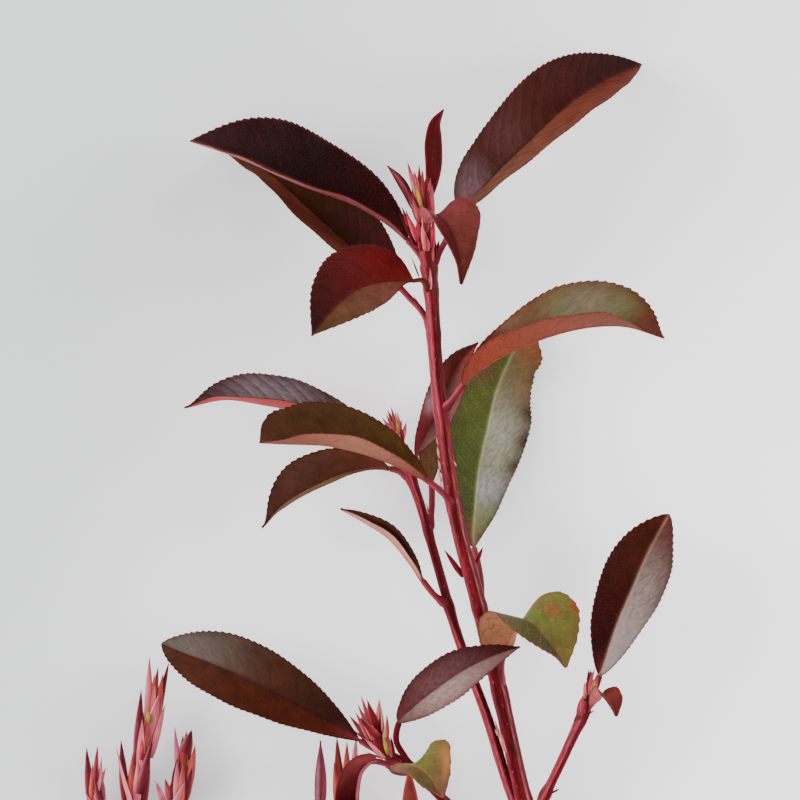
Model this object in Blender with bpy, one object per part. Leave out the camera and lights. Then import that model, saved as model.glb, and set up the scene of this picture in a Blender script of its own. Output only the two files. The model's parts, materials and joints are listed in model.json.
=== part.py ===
"""Cut leafy branch of a red photinia, laid on a level surface with its best side up.

The main stem rises from its cut end, which rests on the surface, and forks into a second stem, two
twigs and a low bough with young shoots. Each limb, leaf, bud and shoot is a solid of its own, and
whatever grows from a limb starts 0.3 mm clear of its side. Lengths are in millimetres, and the mesh
is made in metres. +Y runs up the branch, +Z is up, and the origin is on the surface, under the
middle of the branch.
"""
import math

import bmesh
import bpy
from mathutils import Vector
from mathutils.geometry import interpolate_bezier

MM = 0.001
GAP = 0.3
BRANCH = "red_photinia_branch"
MIDDLE = Vector((1.2, 0.75, 0.0))  # moves the whole branch, so that the origin is under its middle

# Leaves: shared sizes
STALK_RADIUS = 1.1
STALK_RINGS = 4
STALK_SIDES = 10
STALK_BLEND = 0.2  # share of the blade over which the round stalk flattens into it
LEAF_THICKNESS = 0.0105  # share of the leaf's length
THINNEST = 0.6
MARGIN_THICKNESS = 0.6  # share of the thickness at the midrib
TIP_HALF = 0.35
BLADE_RINGS = 12
CURLED_HALF = 6.0  # stands for half the width of a leaf whose margins are given
SMOOTH_STEPS = 14  # pieces of a smooth path from one knot to the next
WELDS = (0.01, 0.002, 0.0)  # points this close become one after a Boolean; the first that leaves it closed
FIRST_BRACT = 0.25  # share of a bud's or shoot's axis where its lowest bract leaves it
LAST_BRACT = 0.95

# Limbs, buds and shoots: shared sizes
TAPER = 0.8  # below 1, a limb thins out faster near its foot
LIMB_RESOLUTION = 4  # bevel steps of a limb, which give it 12 sides
CORE_RESOLUTION = 2  # bevel steps of a bud's core, 8 sides
GOLDEN_TURN = math.radians(137.5)  # turn from one bract to the next
BRACT_THICKNESS = 0.9
BRACT_STATIONS = (0.0, 0.35, 0.75, 1.0)
BEND_BACK = 0.4  # how much of a bract's lean it takes back towards its tip
THIN_END = 0.4  # thickness of a bract's ends, as a share of its middle's
BRACT_WIDTHS = (0.45, 1.0, 0.7, 0.1)  # share of half the bract's width at each station

COLOURS = {
    "bark": (0.19, 0.012, 0.022, 1.0),
    "leaf": (0.075, 0.014, 0.012, 1.0),
    "green_leaf": (0.085, 0.1, 0.03, 1.0),
    "bract": (0.45, 0.05, 0.06, 1.0),
}
ROUGHNESS = {"bark": 0.45, "leaf": 0.35, "green_leaf": 0.35, "bract": 0.5}

# Each limb: the points of its axis, its radius at foot and tip, and the limb that carries it
LIMBS = {
    "main_stem": {
        "axis": [(73, -183, 3.4), (60, -114.5, 12.5), (51.5, -82, 17.3), (43.5, -46.5, 22),
                 (34.5, -11, 26.8), (27, 18, 30.8), (22.5, 48.5, 34), (19.5, 76.5, 36), (18.5, 94, 37.3),
                 (16.5, 116, 38.2)],
        "radius": (3.4, 2.4), "steps": 26, "carrier": None},
    "second_stem": {
        "axis": [(56.5, -101, 14.2), (51, -90, 15.3), (47.5, -82, 16), (38, -52.5, 17.5),
                 (28.5, -26.5, 18.7), (19, 6.5, 20.8), (14, 24, 22.5), (7, 43, 24)],
        "radius": (2.0, 1.6), "steps": 16, "carrier": "main_stem"},
    "right_twig": {
        "axis": [(53.5, -90.5, 16), (58, -81.5, 17), (63.5, -70, 19), (68, -58, 21.3), (72.5, -47, 23)],
        "radius": (1.5, 2.0), "steps": 8, "carrier": "main_stem"},
    "left_twig": {
        "axis": [(60, -115, 12.4), (56.5, -111.5, 13.3), (42.5, -98.5, 15.3), (22.5, -81.5, 19),
                 (11, -70.5, 22.5), (3.5, -65.5, 24.3)],
        "radius": (1.9, 1.5), "steps": 12, "carrier": "main_stem"},
    "low_bough": {
        "axis": [(67, -151.5, 7.6), (62, -148, 7.3), (32.2, -131, 5.5), (-17.6, -116.3, 4),
                 (-58.5, -106.7, 3.6), (-81.5, -101, 3.4), (-97.5, -96.5, 3.4)],
        "radius": (2.2, 1.4), "steps": 20, "carrier": "main_stem"},
}

# Each leaf: the points of its stalk and of its midrib, half its width, and how far each half of the
# blade rises above the level, in degrees at even steps from base to tip. Past 90 degrees a half is
# folded over its midrib and shows its underside. "widest" is where along the blade it is widest,
# "ends" the bluntness of base and tip, and "cup" how far a half curls up at its margin, in degrees.
# A leaf that arches over and turns its top outwards has the points of its left and right margin
# beside those of its midrib instead.
LEAVES = {
    "leaf_top_left": {
        "stalk": [(18, 105, 37.7), (14.5, 109.5, 38)],
        "midrib": [(10, 115, 37), (-4.5, 125.5, 36.5), (-27.5, 134.5, 34), (-48.5, 144, 28),
                   (-66.5, 150.5, 21)],
        "half": 18.8, "left": (100, 98, 90), "right": (5, 5), "widest": 0.6,
        "ends": (0.75, 0.95), "cup": 10,
        "carrier": "main_stem"},
    "leaf_top_left_under": {
        "stalk": [(19, 82, 36.4), (15, 90, 35), (10, 95.5, 33.5)],
        "midrib": [(5, 101, 32), (-11, 114, 26), (-25, 126.5, 19), (-38.5, 139, 10), (-56, 148.5, 0.8)],
        "half": 17.2, "left": (70, 76, 68), "right": (10, 10), "widest": 0.45,
        "ends": (0.5, 1.1), "cup": 10,
        "carrier": "main_stem"},
    "leaf_top_front": {
        "stalk": [(18.5, 98.5, 37.5), (17.5, 101, 41.5), (14.5, 101, 42.5)],
        "midrib": [(12, 100.5, 42), (2, 100, 50), (-6.5, 97.5, 59), (-14, 91.5, 70), (-22.5, 81, 82)],
        "half": 15.5, "left": (52, 42, 42), "right": (15, 10), "widest": 0.52,
        "ends": (0.6, 1.0), "cup": 10,
        "carrier": "main_stem"},
    "leaf_top_right": {
        "stalk": [(18, 105, 37.7), (21.5, 111.5, 38), (25.5, 118.5, 37.5)],
        "midrib": [(29, 124.5, 36), (38, 135, 37), (52, 149, 35), (67, 163, 26), (81.5, 173, 12),
                   (93.5, 179, 0.8)],
        "half": 17.3, "left": (10, 5), "right": (74, 65, 62), "widest": 0.52,
        "ends": (0.55, 0.9), "cup": 10,
        "carrier": "main_stem"},
    "leaf_top_small": {
        "stalk": [(17.2, 111, 38), (17, 115, 40.5), (16.5, 118.5, 42)],
        "midrib": [(16.5, 121, 43.5), (17.5, 123, 46.5), (19.5, 123, 49.5), (21.5, 121.5, 52),
                   (24, 119, 54), (26, 114.5, 55), (27.5, 108.5, 55), (28.5, 99, 52)],
        "margins": ([(18, 120.5, 42.5), (20, 122, 44), (22, 124.5, 46), (25.5, 128, 48), (30.5, 129, 50),
                     (34.5, 125.5, 51.5), (34, 114.5, 52.5), (29, 99, 52)],
                    [(15.5, 121.5, 44.5), (13.5, 124, 48.5), (14.5, 126, 52), (17, 124, 55.5),
                     (20, 119, 58.5), (23.5, 113, 59.5), (26.5, 106.5, 58), (28, 99, 52)]),
        "carrier": "main_stem"},
    "leaf_arched": {
        "stalk": [(22, 55, 34.5), (25.5, 59, 38)],
        "midrib": [(29.5, 64.5, 40), (40, 73, 45), (52.5, 79, 47), (69.5, 84, 46), (84.5, 85, 40),
                   (100, 81, 28)],
        "half": 16.3, "left": (50, 5, 50), "right": (145, 120, 95), "widest": 0.62,
        "ends": (0.6, 0.9), "cup": 10,
        "carrier": "main_stem"},
    "leaf_green_behind": {
        "stalk": [(35, -14, 26.4), (36, -8, 22.3), (35, 1, 21)],
        "midrib": [(33.5, 7, 20), (34, 21, 14), (35.5, 35, 8), (38.5, 48.5, 4), (41.5, 61.5, 2),
                   (46, 73, 3.5), (53, 86, 8)],
        "half": 15.2, "left": (10, 5), "right": (15, 15), "widest": 0.57, "ends": (0.75, 0.65), "cup": 5,
        "carrier": "main_stem"},
    "leaf_folded_green": {
        "stalk": [(42.5, -42.5, 22.8), (43, -38, 24.5), (43, -34, 26.5)],
        "midrib": [(43.5, -30.5, 29), (45, -25.5, 33), (46.5, -21.5, 37.5), (48.5, -18.5, 41.5),
                   (50.5, -17, 44), (53, -18, 45.5), (56, -20.5, 46), (59, -24.5, 45.5), (62, -28.5, 44),
                   (65, -34, 40)],
        "margins": ([(44.5, -30.5, 28.5), (47, -27, 30), (48, -23.5, 32), (49, -20.5, 35),
                     (52.5, -13.5, 38), (57, -8.5, 41), (63.5, -7.5, 43), (69, -12.5, 43.5),
                     (69.5, -20.5, 43), (65.5, -34, 40)],
                    [(42, -31, 30), (36, -27, 35), (34.5, -21, 41), (35.5, -15.5, 47), (39, -13.5, 52),
                     (44.5, -18.5, 54), (50, -23, 53.5), (55.5, -26.5, 51), (60.5, -29.5, 47),
                     (64.5, -34, 40)]),
        "carrier": "main_stem"},
    "leaf_left_front": {
        "stalk": [(26, 21.5, 31.2), (22.5, 26.5, 36.5)],
        "midrib": [(17, 31, 40), (8, 35.5, 42.5), (-4.5, 40.5, 45), (-18.5, 43.5, 46), (-31, 44, 44),
                   (-41.5, 44.5, 41)],
        "half": 15.5, "left": (110, 110, 96), "right": (20, 10), "widest": 0.64,
        "ends": (0.8, 0.42), "cup": 10,
        "carrier": "main_stem"},
    "leaf_left_far": {
        "stalk": [(9, 38, 23.6), (5.5, 41.5, 25)],
        "midrib": [(2, 45.5, 25.5), (-10, 50.5, 26), (-24, 54.5, 25.5), (-40, 57.5, 23), (-54, 59.5, 18),
                   (-69, 56.5, 11)],
        "half": 13.4, "left": (100, 88), "right": (36, 35), "widest": 0.53, "ends": (1.15, 1.3), "cup": 10,
        "carrier": "second_stem"},
    "leaf_left_low": {
        "stalk": [(11.5, 31, 23.1), (8.5, 33.5, 23)],
        "midrib": [(4, 35, 23), (-10, 34, 25), (-23.5, 28.5, 23.5), (-33.5, 22.5, 18), (-41.5, 14, 12)],
        "half": 12.2, "left": (82, 78), "right": (20, 20), "widest": 0.5, "ends": (0.9, 1.5), "cup": 10,
        "carrier": "second_stem"},
    "leaf_thin_left": {
        "stalk": [(24.8, -13.5, 19.3), (20, -10, 22)],
        "midrib": [(15.5, -4.5, 24), (10.5, 2.5, 27), (2.5, 11.5, 28.5), (-4.5, 16, 28), (-13.5, 21, 25)],
        "half": 8, "left": (112, 112), "right": (56, 56), "widest": 0.5, "ends": (0.8, 1.0), "cup": 0,
        "carrier": "second_stem"},
    "leaf_behind_stem": {
        "stalk": [(11.2, 32, 23.1), (13.2, 35.5, 21)],
        "midrib": [(13, 39, 20.5), (15, 44.5, 20), (19, 52, 19), (24, 64.5, 17.5), (28.5, 73.5, 16.5),
                   (35, 79.5, 16)],
        "half": 8.8, "left": (48, 48), "right": (40, 40), "widest": 0.5, "ends": (0.8, 1.0), "cup": 0,
        "carrier": "second_stem"},
    "leaf_brown_behind": {
        "stalk": [(17.4, 12.5, 21.3), (18.5, 20.5, 19.5)],
        "midrib": [(18.5, 29.5, 16.5), (18, 37, 13), (19.5, 46.5, 10.5), (23.5, 61, 9.5)],
        "half": 5, "left": (10, 10), "right": (10, 10), "widest": 0.5, "ends": (0.8, 1.0), "cup": 0,
        "carrier": "second_stem"},
    "leaf_right_tall": {
        "stalk": [(71.2, -50.2, 22.5), (75, -44.5, 23.8)],
        "midrib": [(77.5, -38, 24), (80, -30.5, 24.3), (83, -21.5, 24), (89, -7.5, 22.5), (95.5, 7, 21),
                   (102, 19, 22.5)],
        "half": 12.6, "left": (10, 10), "right": (35, 35), "widest": 0.6, "ends": (0.72, 0.7), "cup": 5,
        "carrier": "right_twig"},
    "leaf_right_small": {
        "stalk": [(69.5, -54.3, 22), (72, -51, 23)],
        "midrib": [(74, -48.5, 24.5), (75.5, -46.5, 27.5), (76.5, -44.5, 31.5), (78, -43.5, 34.5),
                   (79, -44, 36), (80.5, -45.5, 36), (81.5, -47.5, 35), (83, -51.5, 32)],
        "margins": ([(75, -49, 24), (76.5, -47, 25.5), (78, -45.5, 28.5), (78.5, -43, 30.5),
                     (80.5, -41.5, 32), (83, -41, 33), (85, -44, 33.5), (83.5, -51.5, 32)],
                    [(73.5, -48, 25.5), (73.5, -45.5, 29), (74, -42.5, 33), (75.5, -40.5, 36),
                     (77, -43, 39), (79, -45.5, 39), (81, -48.5, 37.5), (82.5, -51.5, 32)]),
        "carrier": "right_twig"},
    "leaf_low_left": {
        "stalk": [(5.5, -66.8, 23.9), (-1.5, -63.5, 25.5)],
        "midrib": [(-6.5, -60.5, 27), (-18, -53.5, 29), (-35.5, -44, 29.5), (-57, -34, 25),
                   (-70, -29.5, 19), (-77, -27, 15)],
        "half": 13.8, "left": (48, 40), "right": (15, 15), "widest": 0.58, "ends": (0.9, 0.75), "cup": 10,
        "carrier": "left_twig"},
    "leaf_low_middle": {
        "stalk": [(13.5, -72.5, 21.8), (9, -66, 25.5), (6, -60, 28.5)],
        "midrib": [(7, -54, 30), (12, -48.5, 32), (20.5, -41.5, 36), (30.5, -34.5, 39.5), (40.5, -29.5, 42),
                   (49, -26.5, 43)],
        "half": 9.8, "left": (20, 30), "right": (50, 45), "widest": 0.48, "ends": (0.65, 1.0), "cup": 10,
        "carrier": "left_twig"},
    "leaf_low_red": {
        "stalk": [(7, -67.9, 23.5), (3.5, -68.5, 26), (1.5, -68, 29)],
        "midrib": [(-0.5, -67.3, 32), (-3.5, -67.5, 34.5), (-6.5, -70.5, 37), (-7.8, -76, 38.5),
                   (-8, -84.5, 36.5), (-6, -96.5, 31)],
        "half": 7.6, "left": (80, 80), "right": (20, 20), "widest": 0.5, "ends": (0.7, 1.0), "cup": 0,
        "carrier": "left_twig"},
    "leaf_low_green": {
        "stalk": [(10.8, -70.4, 22.5), (7.5, -71.5, 27), (5, -70.5, 31)],
        "midrib": [(4.5, -69.5, 34), (6.5, -68.5, 37), (8.5, -68, 40), (11, -67.5, 42), (13, -68, 43.5),
                   (15.5, -69.5, 44), (18, -72, 43.5), (20, -75.5, 42), (22.5, -79, 38)],
        "margins": ([(5, -68.5, 33.5), (6.5, -67.5, 35), (9, -67.5, 37), (12, -67.5, 38.5),
                     (15.5, -64.5, 39.5), (19, -59.5, 40.5), (23.5, -59, 41), (25, -67.5, 41),
                     (23, -79, 38)],
                    [(4, -70, 35), (5.5, -70.5, 39), (7, -70.5, 43), (9, -70.5, 46), (12, -72, 47.5),
                     (14.5, -74.5, 47.5), (17.5, -76.5, 46), (20, -78, 43), (22, -79.5, 38)]),
        "carrier": "left_twig"},
    "leaf_low_narrow": {
        "stalk": [(-21, -115.5, 4), (-21.3, -105, 6)],
        "midrib": [(-21.3, -94, 8), (-20.8, -79, 11), (-20.8, -61.5, 12)],
        "half": 2.2, "left": (10, 10), "right": (10, 10), "widest": 0.5, "ends": (0.8, 1.0), "cup": 0,
        "carrier": "low_bough"},
    "leaf_low_orange": {
        "stalk": [(18, -126.8, 4.9), (14.5, -116, 6)],
        "midrib": [(13, -104, 7.5), (11.2, -86, 10), (10.5, -70.5, 12)],
        "half": 3.2, "left": (10, 10), "right": (10, 10), "widest": 0.5, "ends": (0.8, 1.0), "cup": 0,
        "carrier": "low_bough"},
}

# Young leaves that are still part of the top bud, described like the leaves
YOUNG_LEAVES = {
    "young_upright": {
        "stalk": [(16.5, 119, 38.6), (17, 124, 39)],
        "midrib": [(17.5, 128, 39.5), (19, 140, 41), (19, 150, 42), (19.5, 155, 43), (22.5, 160, 44)],
        "half": 3.2, "left": (15, 15), "right": (15, 15), "widest": 0.55, "ends": (0.6, 0.8), "cup": 0},
    "young_narrow": {
        "stalk": [(16, 119, 38.6), (13.5, 122, 39)],
        "midrib": [(12, 125, 39.3), (10, 131, 40), (7, 136, 41), (3, 140.5, 42)],
        "half": 1.7, "left": (15, 15), "right": (15, 15), "widest": 0.5, "ends": (0.7, 0.9), "cup": 0},
}

# Each bud or young shoot: the points of its axis, its core's radius at foot and tip, its bracts, how
# many, how long, half as wide, and how far the lowest and the highest one lean out, in degrees. A bud
# stands on the end of its limb, and a shoot starts inside the limb that carries it.
BUDS = {
    "bud_top": {
        "axis": [(16.4, 116.5, 38.25), (15.8, 121, 38.7), (15.2, 126, 39)],
        "radius": (2.5, 1.2), "bracts": 10, "length": (13, 16), "half": 2.1,
        "lean": (24, 6), "carrier": "main_stem",
        "clear_of": ("leaf_top_small", "leaf_top_left", "leaf_top_right")},
    "bud_side": {
        "axis": [(17.3, 110, 38), (13.8, 113, 39.5), (12, 117, 40)],
        "radius": (1.1, 0.8), "bracts": 5, "length": (8, 9), "half": 1.4,
        "lean": (16, 5), "carrier": "main_stem",
        "clear_of": ("leaf_top_left",)},
    "bud_second": {
        "axis": [(6.8, 43.4, 24.05), (6.2, 46, 24.3), (5.6, 48.5, 24.6)],
        "radius": (1.2, 0.7), "bracts": 6, "length": (8, 8.5), "half": 1.7, "lean": (38, 8),
        "carrier": "second_stem", "clear_of": ("leaf_left_far",)},
    "bud_right": {
        "axis": [(72.7, -46.5, 23.05), (73.2, -44.5, 23.4), (73.6, -42.5, 23.8)],
        "radius": (1.9, 0.9), "bracts": 5, "length": (7, 9), "half": 1.7,
        "lean": (16, 6), "carrier": "right_twig",
        "clear_of": ("leaf_right_tall", "leaf_right_small")},
    "bud_left": {
        "axis": [(3.1, -65.2, 24.4), (1.5, -61.5, 25.5), (0, -58, 26.5)],
        "radius": (1.6, 0.9), "bracts": 8, "length": (15, 15), "half": 2.3,
        "lean": (34, 9), "carrier": "left_twig",
        "clear_of": ("leaf_low_left", "leaf_low_red")},
    "shoot_far_left": {
        "axis": [(-94, -97.5, 3.4), (-98, -88, 6), (-99, -78, 8)],
        "radius": (1.3, 0.7), "bracts": 5, "length": (18, 14), "half": 2.4, "lean": (8, 6),
        "carrier": "low_bough", "clear_of": ()},
    "shoot_left_tall": {
        "axis": [(-86, -99.9, 3.4), (-86.5, -85, 7), (-83.5, -68, 10),
                 (-80.5, -54, 12)],
        "radius": (1.5, 0.8), "bracts": 9, "length": (28, 21), "half": 2.8, "lean": (14, 8),
        "carrier": "low_bough", "clear_of": ()},
    "shoot_left_short": {
        "axis": [(-77, -102, 3.4), (-74.5, -88, 6.5), (-71.5, -76, 8.5),
                 (-69.5, -68, 10)],
        "radius": (1.5, 0.8), "bracts": 7, "length": (18, 14), "half": 2.8, "lean": (18, 9),
        "carrier": "low_bough", "clear_of": ()},
    "shoot_low_pink": {
        "axis": [(-14, -117.2, 4), (-12.5, -103, 6.5), (-11, -81, 10.5)],
        "radius": (1.5, 0.8), "bracts": 5, "length": (27, 24), "half": 2.8, "lean": (6, 4),
        "carrier": "low_bough", "clear_of": ()},
}


def smooth_path(knots):
    """Dense points of one smooth curve through the knots, and the length along it at each point and knot."""
    knots = [Vector(p) for p in knots]
    spans = [(b - a).length for a, b in zip(knots, knots[1:])]
    slopes = [(b - a) / s for a, b, s in zip(knots, knots[1:], spans)]
    tangents = [slopes[0]]
    for before, after, s, t in zip(slopes, slopes[1:], spans, spans[1:]):
        tangents.append((before * t + after * s) / (s + t))
    tangents.append(slopes[-1])
    dense = [knots[0]]
    for i, span in enumerate(spans):
        start, end = knots[i], knots[i + 1]
        pull = span / 3

        dense.extend(interpolate_bezier(start, start + tangents[i] * pull, end - tangents[i + 1] * pull, end,
                                        SMOOTH_STEPS + 1)[1:])
    along = [0.0]
    for a, b in zip(dense, dense[1:]):
        along.append(along[-1] + (b - a).length)
    return dense, along, along[::SMOOTH_STEPS]


def point_at(dense, along, length):
    """The point at a length along a dense path, and the path's direction there."""
    i = 1
    while i < len(along) - 1 and along[i] < length:
        i += 1
    share = (length - along[i - 1]) / (along[i] - along[i - 1])
    here = dense[i - 1].lerp(dense[i], share)
    behind, ahead = dense[max(i - 2, 0)], dense[min(i + 1, len(dense) - 1)]
    return here, (ahead - behind).normalized()


def loft(name, rings):
    """A closed mesh through rings of equally many points, with a flat cap on each end."""
    mesh = bmesh.new()
    loops = [[mesh.verts.new((p + MIDDLE) * MM) for p in ring] for ring in rings]
    for near, far in zip(loops, loops[1:]):
        for i in range(len(near)):
            j = (i + 1) % len(near)
            mesh.faces.new((near[i], near[j], far[j], far[i]))
    mesh.faces.new(loops[0][::-1])
    mesh.faces.new(loops[-1])
    bmesh.ops.recalc_face_normals(mesh, faces=mesh.faces)
    bmesh.ops.triangulate(mesh, faces=mesh.faces)
    data = bpy.data.meshes.new(name)
    mesh.to_mesh(data)
    mesh.free()
    piece = bpy.data.objects.new(name, data)
    bpy.context.scene.collection.objects.link(piece)
    return piece


def tube(name, axis, radii, steps, extra=0.0, resolution=LIMB_RESOLUTION):
    """A round limb along a smooth axis that tapers evenly: a curve with a bevel, made a mesh."""
    dense, along, _ = smooth_path(axis)
    curve = bpy.data.curves.new(name, "CURVE")
    curve.dimensions = "3D"
    curve.bevel_depth = MM
    curve.bevel_resolution = resolution
    curve.use_fill_caps = True
    spline = curve.splines.new("POLY")
    spline.points.add(steps)
    for i, point in enumerate(spline.points):
        share = i / steps
        here, _ = point_at(dense, along, share * along[-1])
        point.co = (*((here + MIDDLE) * MM), 1.0)
        point.radius = radii[0] + (radii[1] - radii[0]) * share ** TAPER + extra
    guide = bpy.data.objects.new(name + "_axis", curve)
    bpy.context.scene.collection.objects.link(guide)
    bpy.context.view_layer.update()
    data = bpy.data.meshes.new_from_object(guide.evaluated_get(bpy.context.evaluated_depsgraph_get()))
    data.name = name
    bpy.data.objects.remove(guide)
    mesh = bmesh.new()
    mesh.from_mesh(data)
    bmesh.ops.remove_doubles(mesh, verts=mesh.verts, dist=WELDS[0] * MM)
    mesh.to_mesh(data)
    mesh.free()
    piece = bpy.data.objects.new(name, data)
    bpy.context.scene.collection.objects.link(piece)
    return piece


def limb_tube(name, extra=0.0):
    """The round body of one limb, fatter and longer by extra where it is a cutter."""
    limb = LIMBS[name]
    axis = [Vector(p) for p in limb["axis"]]
    axis[-1] += (axis[-1] - axis[-2]).normalized() * extra
    return tube(name, axis, limb["radius"], limb["steps"], extra)


def width_share(s, leaf):
    """How wide the blade is at share s of its length, as a share of its greatest width."""
    blunt_base, blunt_tip = leaf["ends"]
    if s < leaf["widest"]:
        return math.sin(math.pi / 2 * s / leaf["widest"]) ** blunt_base
    return max(0.0, math.sin(math.pi / 2 * (1 - s) / (1 - leaf["widest"]))) ** blunt_tip


def between(values, s):
    """The value at share s of the way through evenly spaced values."""
    place = min(max(s, 0.0), 1.0) * (len(values) - 1)
    i = min(int(place), len(values) - 2)
    return values[i] + (values[i + 1] - values[i]) * (place - i)


def curled_halves(leaf, near, share, centre, ahead):
    """For each half of a leaf with measured margins, the way to its margin and the way its top faces."""
    halves = []
    for margin, hand in zip(leaf["margins"], (1, -1)):
        dense, _, _ = smooth_path(margin)
        place = (near + share) * SMOOTH_STEPS
        i = min(int(place), len(dense) - 2)
        reach = dense[i].lerp(dense[i + 1], place - i) - centre
        halves.append((reach, (ahead.cross(reach) * hand).normalized()))
    return halves


def tilted_halves(leaf, s, left, up, half):
    """For each half of a leaf described by its tilt, the way to its margin and the way its top faces."""
    halves = []
    for side, level in (("left", left), ("right", -left)):
        rise = math.radians(between(leaf[side], s))
        reach = (level * math.cos(rise) + up * math.sin(rise)) * half
        halves.append((reach, up * math.cos(rise) - level * math.sin(rise)))
    return halves


def blade_ring(centre, halves, cup, thick):
    """The section of a blade: along its top from the left margin to the right one, and back below."""
    top, bottom = [], []
    for across in (-1.0, -0.5, 0.0, 0.5, 1.0):
        reach, facing = halves[0] if across < 0 else halves[1]
        out = abs(across)
        point = centre + reach * out - facing * reach.length * math.radians(cup) / 2 * out * (1 - out)
        normal = facing if across else (halves[0][1] + halves[1][1]).normalized()
        lift = normal * thick / 2 * (1.0 - (1.0 - MARGIN_THICKNESS) * out)
        top.append(point + lift)
        bottom.append(point - lift)
    return top + bottom[::-1]


def leaf_rings(leaf, extra=0.0):
    """The sections of a leaf from the foot of its stalk to its tip, round at first and thin on the blade."""
    dense, along, at_knots = smooth_path(leaf["stalk"] + leaf["midrib"])
    on_blade = at_knots[len(leaf["stalk"]):]
    blade_start = on_blade[0]
    blade_length = along[-1] - blade_start
    thick = max(LEAF_THICKNESS * blade_length, THINNEST) + 2 * extra
    stalk_radius = min(STALK_RADIUS, leaf.get("half", CURLED_HALF) / 3) + extra
    stations = [blade_start * i / STALK_RINGS for i in range(STALK_RINGS + 1)]
    stations += [blade_start + blade_length * i / BLADE_RINGS for i in range(1, BLADE_RINGS + 1)]
    rings = []
    for station in stations:
        centre, ahead = point_at(dense, along, station)
        level = Vector((0, 0, 1)).cross(ahead)
        if "margins" in leaf:
            level = Vector(leaf["margins"][0][0]) - Vector(leaf["midrib"][0])
        left = (level - ahead * level.dot(ahead)).normalized()
        up = ahead.cross(left)
        if station <= blade_start:
            turns = [math.pi - 2 * math.pi * (i + 0.5) / STALK_SIDES for i in range(STALK_SIDES)]
            rings.append([centre + (up * math.sin(t) - left * math.cos(t)) * stalk_radius for t in turns])
            continue
        s = (station - blade_start) / blade_length
        blend = max(0.0, 1 - s / STALK_BLEND) ** 2
        here_thick = thick + (2 * stalk_radius - thick) * blend
        if "margins" in leaf:
            near = max(i for i, length in enumerate(on_blade[:-1]) if length <= station)
            share = (station - on_blade[near]) / (on_blade[near + 1] - on_blade[near])
            halves = curled_halves(leaf, near, share, centre, ahead)
        else:
            half = max(TIP_HALF + extra, leaf["half"] * width_share(s, leaf) + extra)
            halves = tilted_halves(leaf, s, left, up, half)
        rings.append(blade_ring(centre, halves, leaf.get("cup", 0), here_thick))
    return rings


def bract_rings(start, heading, out, length, half, lean):
    """The four-sided sections of one pointed bract that leaves a core and bends back towards its heading."""
    side = heading.cross(out).normalized()
    rings = []
    for s, width in zip(BRACT_STATIONS, BRACT_WIDTHS):
        reach = math.sin(lean) * s * (1 + BEND_BACK * (1 - s))
        centre = start + (heading * math.cos(lean) * s + out * reach) * length
        across = side * half * width
        through = out * BRACT_THICKNESS / 2 * max(width, THIN_END)
        rings.append([centre + across, centre + through, centre - across, centre - through])
    return rings


def bud_parts(name, bud):
    """The core of a bud or shoot and its bracts, which turn round it in a spiral, as loose meshes."""
    dense, along, _ = smooth_path(bud["axis"])
    parts = [tube(name, bud["axis"], bud["radius"], 3 * len(bud["axis"]), 0.0, CORE_RESOLUTION)]
    for i in range(bud["bracts"]):
        share = i / (bud["bracts"] - 1)
        place = FIRST_BRACT + (LAST_BRACT - FIRST_BRACT) * share
        here, heading = point_at(dense, along, along[-1] * place)
        flat = Vector((0, 0, 1)).cross(heading).normalized()
        turn = GOLDEN_TURN * i
        out = flat * math.cos(turn) + heading.cross(flat) * math.sin(turn)
        lean = math.radians(between(bud["lean"], share))
        rings = bract_rings(here, heading, out, between(bud["length"], share), bud["half"], lean)
        parts.append(loft(f"{name}_bract_{i}", rings))
    return parts


def join(parts):
    """Joins overlapping closed meshes into the first by one Boolean union on a collection."""
    body, others = parts[0], parts[1:]
    group = bpy.data.collections.new(body.name + "_union")
    bpy.context.scene.collection.children.link(group)
    for other in others:
        bpy.context.scene.collection.objects.unlink(other)
        group.objects.link(other)
    union = body.modifiers.new("union", "BOOLEAN")
    union.operation = "UNION"
    union.solver = "EXACT"
    union.operand_type = "COLLECTION"
    union.collection = group
    bake_modifiers(body)
    for other in others:
        bpy.data.objects.remove(other)
    bpy.data.collections.remove(group)
    return body


def bake_modifiers(piece):
    """Makes the result of a piece's modifiers its mesh, free of slivers where that leaves it closed."""
    bpy.context.view_layer.update()
    data = bpy.data.meshes.new_from_object(piece.evaluated_get(bpy.context.evaluated_depsgraph_get()))
    piece.modifiers.clear()
    for distance in WELDS:
        mesh = bmesh.new()
        mesh.from_mesh(data)
        bmesh.ops.remove_doubles(mesh, verts=mesh.verts, dist=distance * MM)
        bmesh.ops.triangulate(mesh, faces=mesh.faces)
        closed = all(edge.is_manifold for edge in mesh.edges)
        if closed or distance == WELDS[-1]:
            mesh.to_mesh(data)
        mesh.free()
        if closed:
            break
    piece.data = data


def cut_away(piece, cutter):
    """Cuts the cutter's shape out of the piece, and removes the cutter."""
    boolean = piece.modifiers.new("clearance", "BOOLEAN")
    boolean.operation = "DIFFERENCE"
    boolean.solver = "EXACT"
    boolean.object = cutter
    bake_modifiers(piece)
    bpy.data.objects.remove(cutter)


def material(kind):
    """The plain material of one kind of surface, made once."""
    found = bpy.data.materials.get(kind)
    if found:
        return found
    made = bpy.data.materials.new(kind)
    made.use_nodes = True
    surface = made.node_tree.nodes["Principled BSDF"]
    surface.inputs["Base Color"].default_value = COLOURS[kind]
    surface.inputs["Roughness"].default_value = ROUGHNESS[kind]
    surface.inputs["Metallic"].default_value = 0.0
    return made


def finish(piece, collection, kind):
    """Shades a piece smooth, gives it its material and moves it to the branch's collection."""
    piece.data.name = piece.name
    piece.data.materials.clear()
    piece.data.materials.append(material(kind))
    piece.data.shade_smooth()
    for home in list(piece.users_collection):
        home.objects.unlink(piece)
    collection.objects.link(piece)


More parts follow.
